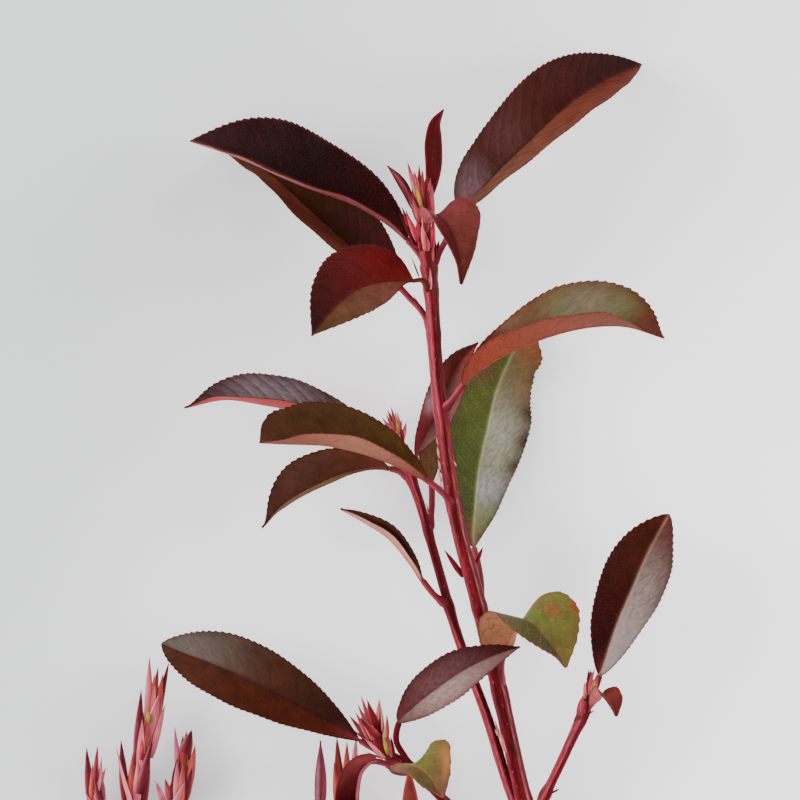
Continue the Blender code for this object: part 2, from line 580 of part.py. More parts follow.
def build():
    """Makes the whole branch."""
    for old in list(bpy.data.objects):
        bpy.data.objects.remove(old)
    collection = bpy.data.collections.new(BRANCH)
    bpy.context.scene.collection.children.link(collection)
    for name, limb in LIMBS.items():
        piece = limb_tube(name)
        if limb["carrier"]:
            cut_away(piece, limb_tube(limb["carrier"], GAP))
        finish(piece, collection, "bark")
    for name, leaf in LEAVES.items():
        piece = loft(name, leaf_rings(leaf))
        cut_away(piece, limb_tube(leaf["carrier"], GAP))
        finish(piece, collection, "green_leaf" if "green" in name else "leaf")
    for name, bud in BUDS.items():
        parts = bud_parts(name, bud)
        if name == "bud_top":
            parts += [loft(young, leaf_rings(leaf)) for young, leaf in YOUNG_LEAVES.items()]
        piece = join(parts)
        cut_away(piece, limb_tube(bud["carrier"], GAP))
        for neighbour in bud["clear_of"]:
            cut_away(piece, loft("clearance", leaf_rings(LEAVES[neighbour], GAP)))
        finish(piece, collection, "bract")


build()
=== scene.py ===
"""Looks of a cut leafy branch of a red photinia that lies on a pale surface, seen from straight above.

Every leaf, stem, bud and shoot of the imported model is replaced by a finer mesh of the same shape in
the same place. Lengths are in millimetres, and the meshes are made in metres.
"""
import json
import math
import random

import bmesh
import bpy
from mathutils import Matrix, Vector, noise
from mathutils.geometry import interpolate_bezier

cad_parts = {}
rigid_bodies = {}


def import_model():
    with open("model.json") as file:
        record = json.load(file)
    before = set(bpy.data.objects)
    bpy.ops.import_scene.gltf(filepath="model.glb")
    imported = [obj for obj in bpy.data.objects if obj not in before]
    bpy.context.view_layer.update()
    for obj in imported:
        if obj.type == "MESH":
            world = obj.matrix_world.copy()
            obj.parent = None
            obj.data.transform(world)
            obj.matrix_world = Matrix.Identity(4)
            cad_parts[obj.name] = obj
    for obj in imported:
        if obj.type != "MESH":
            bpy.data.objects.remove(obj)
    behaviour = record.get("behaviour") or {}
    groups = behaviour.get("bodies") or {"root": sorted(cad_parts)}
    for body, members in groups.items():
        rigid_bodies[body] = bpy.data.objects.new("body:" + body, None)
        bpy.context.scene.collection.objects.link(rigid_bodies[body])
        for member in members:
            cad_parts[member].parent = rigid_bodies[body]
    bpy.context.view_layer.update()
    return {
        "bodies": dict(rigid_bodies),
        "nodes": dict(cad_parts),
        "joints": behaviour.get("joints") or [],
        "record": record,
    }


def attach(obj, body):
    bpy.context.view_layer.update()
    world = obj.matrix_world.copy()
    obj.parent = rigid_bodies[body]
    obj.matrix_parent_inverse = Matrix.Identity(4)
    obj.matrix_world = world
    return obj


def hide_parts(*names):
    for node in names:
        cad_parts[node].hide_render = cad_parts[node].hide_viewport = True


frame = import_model()

MM = 0.001
MIDDLE = Vector((1.2, 0.75, 0.0))  # from the points below to the model's own origin
GOLDEN_TURN = math.radians(137.5)

# Leaf blades
STALK_RADIUS = 1.1
STALK_BLEND = 0.2  # share of the blade over which the round stalk flattens into it
STALK_FLARE = 0.7  # how much wider the stalk is where it leaves its limb
BLADE_THICKNESS = 0.4
MARGIN_THICKNESS = 0.22
RIB_DEPTH = 0.5  # how far the midrib stands out below the blade
RIB_HALF = 0.8
GROOVE = 0.15  # how deep the midrib lies in the top
TOOTH_STEP = 2.2  # from one tooth of the margin to the next
STATION_STEP = TOOTH_STEP / 5
ACROSS = 16  # cells across each half of a blade
TOOTH_DEPTH = 0.6
WAVE_LENGTH = 17.0  # slow waves along the margin
WAVE_HEIGHT = 0.2
VEIN_STEP = 5.6  # from one side vein to the next
VEIN_SLOPE = 0.55  # how far a side vein runs forward for each millimetre outwards
VEIN_BEND = 0.5  # how much more it does so towards the margin
QUILT = 0.07  # how far the blade bulges between two side veins

# Stems
STEM_SIDES = 40
STEM_STEP = 0.8
NODE_BULGE = 0.25
NODE_REACH = 2.4
RIDGE_LENGTH = 15.0  # of the ridge that runs down a stem from a stalk's foot
RIDGE_HEIGHT = 0.3

# Each limb: the points of its axis, its radius at foot and tip, extra swellings with the length along it
# and the height of each, and along it from foot to tip how far the pink side, painted light, reaches across
# it (-1 is the left edge in the view, 1 the right one), how pink that painted lit side is, and how pale the
# painted highlight on the narrow strip on the other side
LIMBS = {
    "main_stem": {
        "axis": [(73, -183, 3.4), (60, -114.5, 12.5), (51.1, -82, 17.3), (43.1, -46.5, 22), (34.5, -11, 26.8),
                 (27, 18, 30.8), (22.5, 48.5, 34), (19.5, 76.5, 36), (18.5, 94, 37.3), (16.5, 116, 38.2)],
        "radius": (3.4, 2.4), "swellings": ((36, 0.15), (76, 0.2), (104, 0.3), (141, 0.2)),
        "reach": (-0.6, -0.6, -0.6, -0.6, -0.55, -0.55, -0.5, -0.3, -0.05, -0.1, -0.35),
        "pink": (0.3, 0.3, 0.3, 0.3, 0.25, 0.2, 0.2, 0.45, 0.75, 0.75, 0.4),
        "painted_right_highlight": (0.7, 0.8, 0.75, 0.7, 0.1, 0.0)},
    "second_stem": {
        "axis": [(56.5, -101, 14.2), (51, -90, 15.3), (47.5, -82, 16), (38, -52.5, 17.5), (28.5, -26.5, 18.7),
                 (19, 6.5, 20.8), (14, 24, 22.5), (7, 43, 24)],
        "radius": (2.0, 1.6), "swellings": ((38, 0.1), (92, 0.15)),
        "reach": (0.0, 0.0, 0.1, 0.1, 0.1, -0.3, -0.3, 0.2, 0.3),
        "pink": (1.1, 1.1, 1.1, 1.0, 0.85, 0.1, 0.1, 0.9, 0.9),
        "painted_right_highlight": (0.1, 0.0, 0.0, 0.0, 0.0)},
    "right_twig": {
        "axis": [(53.5, -90.5, 16), (58, -81.5, 17), (63.5, -70, 19), (68.8, -58, 21.3), (70.9, -53.5, 22), (72.5, -47, 23)],
        "radius": (1.5, 1.9), "swellings": ((11.5, 0.7), (46, 0.3)),
        "reach": (0.0, 0.1, 0.2), "pink": (0.75, 0.8, 0.85), "painted_right_highlight": (0.0, 0.0, 0.2)},
    "left_twig": {
        "axis": [(60, -115, 12.4), (56.5, -111.5, 13.3), (42.5, -98.5, 15.3), (22.5, -81.5, 19), (11, -70.5, 22.5),
                 (3.5, -65.5, 24.3)],
        "radius": (1.9, 1.5), "swellings": ((24, 0.15), (50, 0.15)),
        "reach": (-0.5, -0.5, -0.7), "pink": (0.6, 0.5, 0.1), "painted_right_highlight": (0.2, 0.2, 0.1)},
    "low_bough": {
        "axis": [(67, -151.5, 7.6), (62, -148, 7.3), (32.2, -131, 5.5), (-17.6, -116.3, 4), (-58.5, -106.7, 3.6),
                 (-81.5, -101, 3.4), (-97.5, -96.5, 3.4)],
        "radius": (2.2, 1.4), "swellings": ((30, 0.2), (56, 0.2), (88, 0.2), (120, 0.2)),
        "reach": (-0.4, -0.4, -0.3), "pink": (0.7, 0.7, 0.7), "painted_right_highlight": (0.4, 0.3, 0.2)},
}

# Each leaf: the points of its stalk and midrib, half its width, how far each half rises above the
# level in degrees at even steps from base to tip (past 90 it is folded over the midrib and shows its
# underside), where it is widest, the bluntness of its ends and how far a half curls at its margin.
# A leaf that arches over has the points of its left and right margin beside those of its midrib
# instead. Then come its colours from base to tip: the top of its left and of its right half, which
# differ partly by painted light and shade, a half that faces the light painted lighter and some
# silvery, its underside, its midrib, its margin, patches, each with its half (0 is the left one), its
# share of the way along and out, how far it spreads and its colour, and the folds between the side
# veins where a sheen is painted, each with its half, its share of the way along, how far it spreads,
# its strength and its colour. The breadth gives for each half how wide it is from base to tip as a
# share of the even outline.
LEAVES = {
    "leaf_top_left": {
        "stalk": [(18, 105, 37.7), (14.5, 109.5, 38)],
        "midrib": [(10, 115, 37), (-4.5, 125.5, 36.5), (-27.5, 134.5, 34), (-48.5, 144, 28), (-66.5, 150.5, 21)],
        "half": 18.8, "left": (96, 89, 88), "right": (5, 5), "widest": 0.6, "ends": (0.75, 0.95), "cup": 10,
        "top": (("#2c1012", "#2c1012", "#2c1012"), ("#240505", "#130505", "#22080a")),
        "under": ("#833d44", "#94504c"), "rib": "#7d3d3d", "edge": "#42151a"},
    "leaf_top_left_under": {
        "stalk": [(19, 82, 36.4), (15, 90, 35), (10, 95.5, 33.5)],
        "midrib": [(5, 101, 32), (-11, 114, 26), (-25, 126.5, 19), (-38.5, 139, 10), (-56, 148.5, 0.8)],
        "half": 17.2, "left": (70, 76, 68), "right": (10, 10), "widest": 0.45, "ends": (0.5, 1.1), "cup": 10,
        "top": (("#552a24", "#58281c", "#36241a"), ("#2c0606", "#2d1406", "#34200c")),
        "under": ("#854234", "#904d3c"), "rib": "#38180f", "edge": "#421614",
        "breadth": ((1, 1, 1.08, 1.12, 1.08, 1, 1, 1, 1), (1, 1))},
    "leaf_top_front": {
        "stalk": [(16.9, 97.2, 39.3), (16.4, 99.4, 41.4), (15.0, 100.7, 42.2)],
        "midrib": [(12, 100.5, 42), (2, 100, 50), (-6.5, 97.5, 59), (-14, 91.5, 70), (-22.5, 81, 82)],
        "half": 15.5, "left": (52, 42, 42), "right": (15, 10), "widest": 0.52, "ends": (0.6, 1.0), "cup": 10,
        "top": (("#582e26", "#4c2c22", "#36260e"), ("#560506", "#380505", "#0e0505")),
        "under": ("#7e4a3c", "#7e4a3c"), "rib": "#431410", "edge": "#431012",
        "stalk_painted_light_shade": ("#6e3020", "#42140e"),
        "breadth": ((0.15, 0.38, 0.58, 0.7, 0.78, 0.86, 1.0, 1.1, 1.15, 1.1), (1, 1, 0.98, 0.94, 0.9)),
        "stalk_radius": 0.75},
    "leaf_top_right": {
        "stalk": [(18, 105, 37.7), (21.5, 111.5, 38), (25.5, 118.5, 37.5)],
        "midrib": [(29, 124.5, 36), (38, 135, 37), (52, 149, 35), (67, 163, 26), (81.5, 173, 12), (93.5, 179, 0.8)],
        "half": 17.3, "left": (10, 5), "right": (74, 65, 62), "widest": 0.52, "ends": (0.55, 0.9), "cup": 10,
        "top": (("#34140f", "#320f0b", "#1a0606"), ("#52382a", "#552a1f", "#4e1e17")),
        "under": ("#8c4d40", "#8c4d40"), "rib": "#421b15", "edge": "#431014",
        "vein_and_painted_panel_shade": 1.6, "painted_sheen_folds": ((0, 0.06, 0.12, 0.6, "#7a6266"), (0, 0.3, 0.1, 0.25, "#6a4a4a")),
        "breadth": ((1.3, 1.2, 1.05, 1, 1, 1, 1, 1, 1, 1, 1), (1, 1))},
    "leaf_top_small": {
        "stalk": [(17.2, 111, 38), (17, 115, 40.5), (16.5, 118.5, 42)],
        "midrib": [(16.5, 121, 43.5), (17.5, 123, 46.5), (19.5, 123, 49.5), (21.5, 121.5, 52), (24, 119, 54),
                   (26, 114.5, 55), (27.5, 108.5, 55), (28.5, 99, 52)],
        "margins": ([(18, 120.5, 42.5), (20, 122, 44), (22, 124.5, 46), (25.5, 128, 48), (30.5, 129, 50),
                     (34.5, 125.5, 51.5), (34, 114.5, 52.5), (29, 99, 52)],
                    [(15.5, 121.5, 44.5), (13.5, 124, 48.5), (14.5, 126, 52), (17, 124, 55.5), (20, 119, 58.5),
                     (23.5, 113, 59.5), (26.5, 106.5, 58), (28, 99, 52)]),
        "top": (("#60242a", "#4c201c", "#44160f"), ("#60282a", "#340808", "#380a0a")),
        "under": ("#be5f61", "#7a3a3c"), "rib": "#380e11", "edge": "#631f27", "tooth": 0.25},
    "leaf_arched": {
        "stalk": [(22, 55, 34.5), (25.5, 59, 38)],
        "midrib": [(29.5, 64.5, 40), (40, 73, 45), (52.5, 79, 47), (69.5, 84, 46), (84.5, 85, 40), (100, 81, 28)],
        "half": 16.3, "left": (50, 5, 50), "right": (145, 120, 95), "widest": 0.62, "ends": (0.6, 0.9), "cup": 10,
        "top": (("#702a16", "#4a3018", "#3c1c10"), ("#742c18", "#563c28", "#4c302c")),
        "under": ("#7c2c1a", "#763a2a", "#5a3320"), "rib": "#742a20", "edge": "#58181b",
        # The patch at 0.3 along and 0.5 out is a brown patch lightened by painted sheen
        "patches": ((0, 0.74, 0.3, 7, "#4c4a1c"), (0, 0.5, 0.4, 6, "#4a4826"), (0, 0.86, 0.4, 5, "#54241a"), (0, 0.3, 0.5, 5, "#7a5a42")),
        "painted_sheen_folds": ((0, 0.35, 0.3, 0.35, "#6a5a48"), (0, 0.62, 0.14, 0.45, "#86806f")),
        "breadth": ((1, 0.88, 0.88, 0.93, 1, 1, 1, 0.85, 0.6), (1, 0.95, 0.82, 0.72, 0.64, 0.66, 0.38, 0.06, 0.05))},
    "leaf_green_behind": {
        "stalk": [(35, -14, 26.4), (36, -8, 22.3), (35, 1, 21)],
        "midrib": [(33.5, 7, 20), (34, 21, 14), (35.5, 35, 8), (38.5, 48.5, 4), (41.5, 61.5, 2), (46, 73, 3.5),
                   (53, 86, 8)],
        "half": 15.2, "left": (10, 5), "right": (15, 15), "widest": 0.57, "ends": (0.75, 0.65), "cup": 5,
        "top": (("#0c0a04", "#2e3410", "#2a3410"), ("#1e2608", "#2a2412", "#4a3410")),
        "under": ("#80523d", "#80523d"), "rib": "#757a48", "edge": "#2c1413",
        "patches": ((0, 0.74, 0.5, 5, "#42261c"), (0, 0.88, 0.75, 6, "#54301e"), (1, 0.95, 0.6, 8, "#6a2c18"), (1, 0.14, 0.3, 6, "#3a4810"), (1, 0.38, 1.0, 4, "#34241e"), (1, 0.5, 1.0, 4, "#2a1812"), (1, 0.62, 1.0, 4, "#2a1812"), (1, 0.74, 0.9, 5, "#5a3420")),
        "painted_sheen_folds": ((1, 0.42, 0.36, 0.7, "#827c64"), (1, 0.5, 0.13, 0.7, "#a09c8c"), (1, 0.26, 0.08, 0.6, "#a49ca0"), (0, 0.45, 0.5, 0.2, "#5c6434")),
        "breadth": ((1, 1), (1, 1, 1, 1, 1, 1, 1, 1, 0.93, 0.9, 1, 1.5, 1.4))},
    "leaf_folded_green": {
        "stalk": [(42.5, -42.5, 22.8), (43, -38, 24.5), (43, -34, 26.5)],
        "midrib": [(43.5, -30.5, 29), (45, -25.5, 33), (46.5, -21.5, 37.5), (48.5, -18.5, 41.5), (50.5, -17, 44),
                   (53, -18, 45.5), (56, -20.5, 46), (59, -24.5, 45.5), (62, -28.5, 44), (65, -34, 40)],
        "margins": ([(44.5, -30.5, 28.5), (47, -27, 30), (48, -23.5, 32), (49, -20.5, 35), (52.5, -13.5, 38),
                     (57, -8.5, 41), (63.5, -7.5, 43), (69, -12.5, 43.5), (69.5, -20.5, 43), (65.5, -34, 40)],
                    [(42, -31, 30), (36, -27, 35), (34.5, -21, 41), (35.5, -15.5, 47), (39, -13.5, 52),
                     (44.5, -18.5, 54), (50, -23, 53.5), (55.5, -26.5, 51), (60.5, -29.5, 47), (64.5, -34, 40)]),
        "top": (("#424a1e", "#3e4a1c", "#523c18"), ("#342812", "#302c12", "#140a05")),
        "under": ("#9c6440", "#9f6d4c"), "rib": "#6a4a2c", "edge": "#5c1a12",
        "patches": ((0, 0.62, 0.55, 2.5, "#67371e"), (0, 0.5, 0.95, 2, "#6a2a1b"), (0, 0.72, 0.95, 2, "#6a2a1b"))},
    "leaf_left_front": {
        "stalk": [(26, 21.5, 31.2), (22.5, 26.5, 36.5)],
        "midrib": [(17, 31, 40), (8, 35.5, 42.5), (-4.5, 40.5, 45), (-18.5, 43.5, 46), (-31, 44, 44),
                   (-41.5, 44.5, 41)],
        "half": 15.5, "left": (110, 110, 96), "right": (20, 10), "widest": 0.64, "ends": (0.8, 0.42), "cup": 10,
        "top": (("#562e27", "#834639", "#632823"), ("#422b0f", "#392613", "#341a10")),
        "under": ("#70281c", "#985e4a", "#74382a"), "rib": "#753f33", "edge": "#380e11",
        "breadth": ((1, 1, 1, 1, 1, 0.9, 0.55, 0.08), (1, 1, 1, 1, 1, 1, 1, 1.3))},
    "leaf_left_far": {
        "stalk": [(9, 38, 23.6), (5.5, 41.5, 25)],
        "midrib": [(2, 45.5, 25.5), (-10, 50.5, 26), (-24, 54.5, 25.5), (-40, 57.5, 23), (-54, 59.5, 18),
                   (-69, 56.5, 11)],
        "half": 13.4, "left": (100, 100, 101, 102, 94, 99, 104), "right": (36, 35), "widest": 0.53, "ends": (1.15, 1.3), "cup": 10,
        "top": (("#582524", "#582c2c", "#4c2422"), ("#3c1c1a", "#38201e", "#441c18")),
        "under": ("#aa2a26", "#b02c28"), "rib": "#581f20", "edge": "#3a1518", "quilt": 0.4, "vein_and_painted_panel_shade": 2.1,
        "painted_sheen_folds": ((1, 0.5, 0.3, 0.85, "#8c7a80"),)},
    "leaf_left_low": {
        "stalk": [(11.5, 31, 23.1), (8.5, 33.5, 23)],
        "midrib": [(4, 35, 23), (-10, 34, 25), (-23.5, 28.5, 23.5), (-33.5, 22.5, 18), (-41.5, 14, 12)],
        "half": 12.2, "left": (85, 82), "right": (20, 20), "widest": 0.5, "ends": (0.9, 1.5), "cup": 10,
        "top": (("#683c2d", "#60482f", "#54302c"), ("#562c1e", "#42281e", "#46231f")),
        "under": ("#8f5b47", "#8f5b47"), "rib": "#573625", "edge": "#381111"},
    "leaf_thin_left": {
        "stalk": [(24.8, -13.5, 19.3), (20, -10, 22)],
        "midrib": [(15.5, -4.5, 24), (10.5, 2.5, 27), (2.5, 11.5, 28.5), (-4.5, 16, 28), (-13.5, 21, 25)],
        "half": 8, "left": (103, 103), "right": (55, 55), "widest": 0.5, "ends": (0.8, 1.0), "cup": 0,
        "top": (("#2b0f0d", "#2b0f0d", "#2b0f0d"), ("#563126", "#462419", "#522e2a")),
        "under": ("#b16e5d", "#b67663"), "rib": "#86493d", "edge": "#381311",
        "breadth": ((1, 1), (0.7, 0.9, 1, 1, 1)),
        "patches": ((1, 0.04, 0.5, 9, "#a06454"),)},
    "leaf_behind_stem": {
        "stalk": [(11.2, 32, 23.1), (13.2, 35.5, 21)],
        "midrib": [(13, 39, 20.5), (15, 44.5, 20), (19, 52, 19), (24, 64.5, 17.5), (28.5, 73.5, 16.5), (35, 79.5, 16)],
        "half": 8.8, "left": (48, 48), "right": (40, 40), "widest": 0.5, "ends": (0.8, 1.0), "cup": 0,
        "top": (("#5c1a1a", "#5c2420", "#281610"), ("#6c4a42", "#583c34", "#782c2c")),
        "under": ("#8c4d40", "#8c4d40"), "rib": "#832833", "edge": "#4d151c",
        # The patch on the left half is painted sheen
        "patches": ((0, 0.42, 0.5, 4, "#836369"),)},
    "leaf_brown_behind": {
        "stalk": [(17.4, 12.5, 21.3), (18.5, 20.5, 19.5)],
        "midrib": [(18.5, 29.5, 16.5), (18, 37, 13), (19.5, 46.5, 10.5), (23.5, 61, 9.5)],
        "half": 5, "left": (10, 10), "right": (10, 10), "widest": 0.5, "ends": (0.8, 1.0), "cup": 0,
        "top": (("#563524", "#412e19", "#422916"), ("#4c3d26", "#483520", "#3a1d0d")),
        "under": ("#7e4b32", "#7e4b32"), "rib": "#4c321d", "edge": "#381811"},
    "leaf_right_tall": {
        "stalk": [(71.2, -50.2, 22.5), (75, -44.5, 23.8)],
        "midrib": [(77.5, -38, 24), (80, -30.5, 24.3), (83, -21.5, 24), (89, -7.5, 22.5), (95.5, 7, 21), (102, 19, 22.5)],
        "half": 12.6, "left": (10, 10), "right": (35, 35), "widest": 0.6, "ends": (0.72, 0.7), "cup": 5,
        # The right half's top is painted silvery grey near its base: painted sheen
        "top": (("#220606", "#280806", "#321408"), ("#8c7a76", "#2a1a16", "#3c0c04")),
        "under": ("#8c4d40", "#8c4d40"), "rib": "#805c48", "edge": "#380f12",
        "painted_sheen_folds": ((1, 0.5, 0.3, 0.6, "#7c6c66"), (1, 0.2, 0.3, 0.75, "#94847e"))},
    "leaf_right_small": {
        "stalk": [(69.5, -54.3, 22), (72, -51, 23)],
        "midrib": [(74, -48.5, 24.5), (75.5, -46.5, 27.5), (76.5, -44.5, 31.5), (78, -43.5, 34.5), (79, -44, 36),
                   (80.5, -45.5, 36), (81.5, -47.5, 35), (83, -51.5, 32)],
        "margins": ([(75, -49, 24), (76.5, -47, 25.5), (78, -45.5, 28.5), (78.5, -43, 30.5), (80.5, -41.5, 32),
                     (83, -41, 33), (85, -44, 33.5), (83.5, -51.5, 32)],
                    [(73.5, -48, 25.5), (73.5, -45.5, 29), (74, -42.5, 33), (75.5, -40.5, 36), (77, -43, 39),
                     (79, -45.5, 39), (81, -48.5, 37.5), (82.5, -51.5, 32)]),
        "top": (("#612622", "#591e1b", "#4a1715"), ("#612622", "#591e1b", "#4a1715")),
        "under": ("#b35657", "#a04e4e"), "rib": "#4d181a", "edge": "#421616", "tooth": 0.15},
    "leaf_low_left": {
        "stalk": [(5.5, -66.8, 23.9), (-1.5, -63.5, 25.5)],
        "midrib": [(-6.5, -60.5, 27), (-18, -53.5, 29), (-35.5, -44, 29.5), (-57, -34, 25), (-70, -29.5, 19),
                   (-77, -27, 15)],
        "half": 13.8, "left": (48, 40), "right": (15, 15), "widest": 0.58, "ends": (0.9, 0.75), "cup": 10,
        "top": (("#360d06", "#2e1006", "#351b12"), ("#160505", "#341b10", "#3a322c")),
        "under": ("#8c4d40", "#8c4d40"), "rib": "#2a0f0a", "edge": "#2e0d0e",
        "painted_sheen_folds": ((1, 0.85, 0.2, 0.45, "#605852"),)},
    "leaf_low_middle": {
        "stalk": [(13.5, -72.5, 21.8), (9, -66, 25.5), (6, -60, 28.5)],
        "midrib": [(7, -54, 30), (12, -48.5, 32), (20.5, -41.5, 36), (30.5, -34.5, 39.5), (40.5, -29.5, 42),
                   (49, -26.5, 43)],
        "half": 9.8, "left": (20, 30), "right": (50, 45), "widest": 0.48, "ends": (0.65, 1.0), "cup": 10,
        "top": (("#4a1614", "#300a0a", "#2c0707"), ("#380c08", "#4c2a24", "#563a3a")),
        "under": ("#8c4d40", "#8c4d40"), "rib": "#4d2325", "edge": "#380f14", "stalk_painted_light_shade": ("#5a1018", "#3c060c"),
        "painted_sheen_folds": ((0, 0.4, 0.34, 0.65, "#6e4a4c"), (1, 0.4, 0.35, 0.6, "#907e78"))},
    "leaf_low_red": {
        "stalk": [(7, -67.9, 23.5), (3.5, -68.5, 26), (1.5, -68, 29)],
        "midrib": [(-0.5, -67.3, 32), (-3.5, -67.5, 34.5), (-6.5, -70.5, 37), (-7.8, -76, 38.5), (-8, -84.5, 36.5),
                   (-6, -96.5, 31)],
        "half": 7.6, "left": (80, 80), "right": (20, 20), "widest": 0.5, "ends": (0.7, 1.0), "cup": 0,
        "top": (("#80444a", "#784046", "#6e3a3e"), ("#742e30", "#340404", "#601c20")),
        "under": ("#8b3d49", "#8b3d49"), "rib": "#631f25", "edge": "#4e1015", "tooth": 0.15},
    "leaf_low_green": {
        "stalk": [(10.8, -70.4, 22.5), (7.5, -71.5, 27), (5, -70.5, 31)],
        "midrib": [(4.5, -69.5, 34), (6.5, -68.5, 37), (8.5, -68, 40), (11, -67.5, 42), (13, -68, 43.5),
                   (15.5, -69.5, 44), (18, -72, 43.5), (20, -75.5, 42), (22.5, -79, 38)],
        "margins": ([(5, -68.5, 33.5), (6.5, -67.5, 35), (9, -67.5, 37), (12, -67.5, 38.5), (15.5, -64.5, 39.5),
                     (19, -59.5, 40.5), (23.5, -59, 41), (25, -67.5, 41), (23, -79, 38)],
                    [(4, -70, 35), (5.5, -70.5, 39), (7, -70.5, 43), (9, -70.5, 46), (12, -72, 47.5),
                     (14.5, -74.5, 47.5), (17.5, -76.5, 46), (20, -78, 43), (22, -79.5, 38)]),
        "top": (("#54482a", "#46481a", "#5e2428"), ("#644840", "#382c10", "#300806")),
        "under": ("#885835", "#7e4b2f"), "rib": "#6a4a2c", "edge": "#6a1c16",
        "patches": ((0, 0.75, 0.7, 3, "#80502c"),)},
    "leaf_low_narrow": {
        "stalk": [(-21, -115.5, 4), (-21.3, -105, 6)],
        "midrib": [(-21.3, -94, 8), (-20.8, -79, 11), (-20.8, -61.5, 12)],
        "half": 2.2, "left": (10, 10), "right": (10, 10), "widest": 0.5, "ends": (0.8, 1.0), "cup": 0,
        "top": (("#8a545c", "#935a61", "#9a5c66"), ("#602830", "#652a31", "#5a1722")),
        "under": ("#75313e", "#75313e"), "rib": "#430f1c", "edge": "#63333f", "tooth": 0.0},
    "leaf_low_orange": {
        "stalk": [(18, -126.8, 4.9), (14.5, -116, 6)],
        "midrib": [(13, -104, 7.5), (11.2, -86, 10), (10.5, -70.5, 12)],
        "half": 3.2, "left": (10, 10), "right": (10, 10), "widest": 0.5, "ends": (0.8, 1.0), "cup": 0,
        "top": (("#703526", "#713026", "#723330"), ("#652820", "#652320", "#5d1d1e")),
        "under": ("#8b3d49", "#8b3d49"), "rib": "#632a23", "edge": "#9c4945", "tooth": 0.0},
}

# Young leaves that are still part of the top bud
YOUNG_LEAVES = {
    "young_upright": {
        "stalk": [(16.5, 119, 38.6), (17, 124, 39)],
        "midrib": [(17.5, 128, 39.5), (19, 140, 41), (19, 150, 42), (19.5, 155, 43), (22.5, 160, 44)],
        "half": 3.2, "left": (15, 15), "right": (15, 15), "widest": 0.55, "ends": (0.6, 0.8), "cup": 0,
        "top": (("#4a0505", "#380505", "#400506"), ("#480506", "#300505", "#400608")),
        "under": ("#742a34", "#742a34"), "rib": "#39050a", "edge": "#58171f", "tooth": 0.0},
    "young_narrow": {
        "stalk": [(16, 119, 38.6), (13.5, 122, 39)],
        "midrib": [(12, 125, 39.3), (10, 131, 40), (7, 136, 41), (3, 140.5, 42)],
        "half": 1.7, "left": (15, 15), "right": (15, 15), "widest": 0.5, "ends": (0.7, 0.9), "cup": 0,
        "top": (("#591e24", "#571e24", "#400a11"), ("#370a0d", "#260505", "#370a0d")),
        "under": ("#742a34", "#742a34"), "rib": "#853b3e", "edge": "#430a12", "tooth": 0.0},
}

# Kinds of bract: the colours at its foot, middle and tip, and of its margins
BRACT_KINDS = {
    "pink": ("#842e36", "#94363e", "#5e1a24", "#b06a6e"),
    "pale": ("#a84a48", "#bc625c", "#84323a", "#d08a84"),
    "red": ("#5a0e18", "#66161f", "#42080f", "#8e3a42"),
    "dark": ("#30060b", "#420a10", "#26050a", "#6a242a"),
    "wine": ("#4e141b", "#5a1c24", "#3c0c14", "#9a4e58"),
    "yellow": ("#5e4a20", "#8a8024", "#7a4a30", "#8a4038"),
    "edged": ("#74302c", "#7c3230", "#6a2428", "#d49c84"),
    "salmon": ("#a03a34", "#a4403a", "#742a2e", "#a85850"),
    "brown": ("#703427", "#702d25", "#581b1b", "#842f35"),
    "bright": ("#7c1c2a", "#a02a3a", "#82202e", "#c05a68"),
    "rose": ("#93404c", "#b45c66", "#8a3a46", "#c07880"),
    "flake": ("#b57a68", "#c8907a", "#9f5651", "#d0a090"),
}

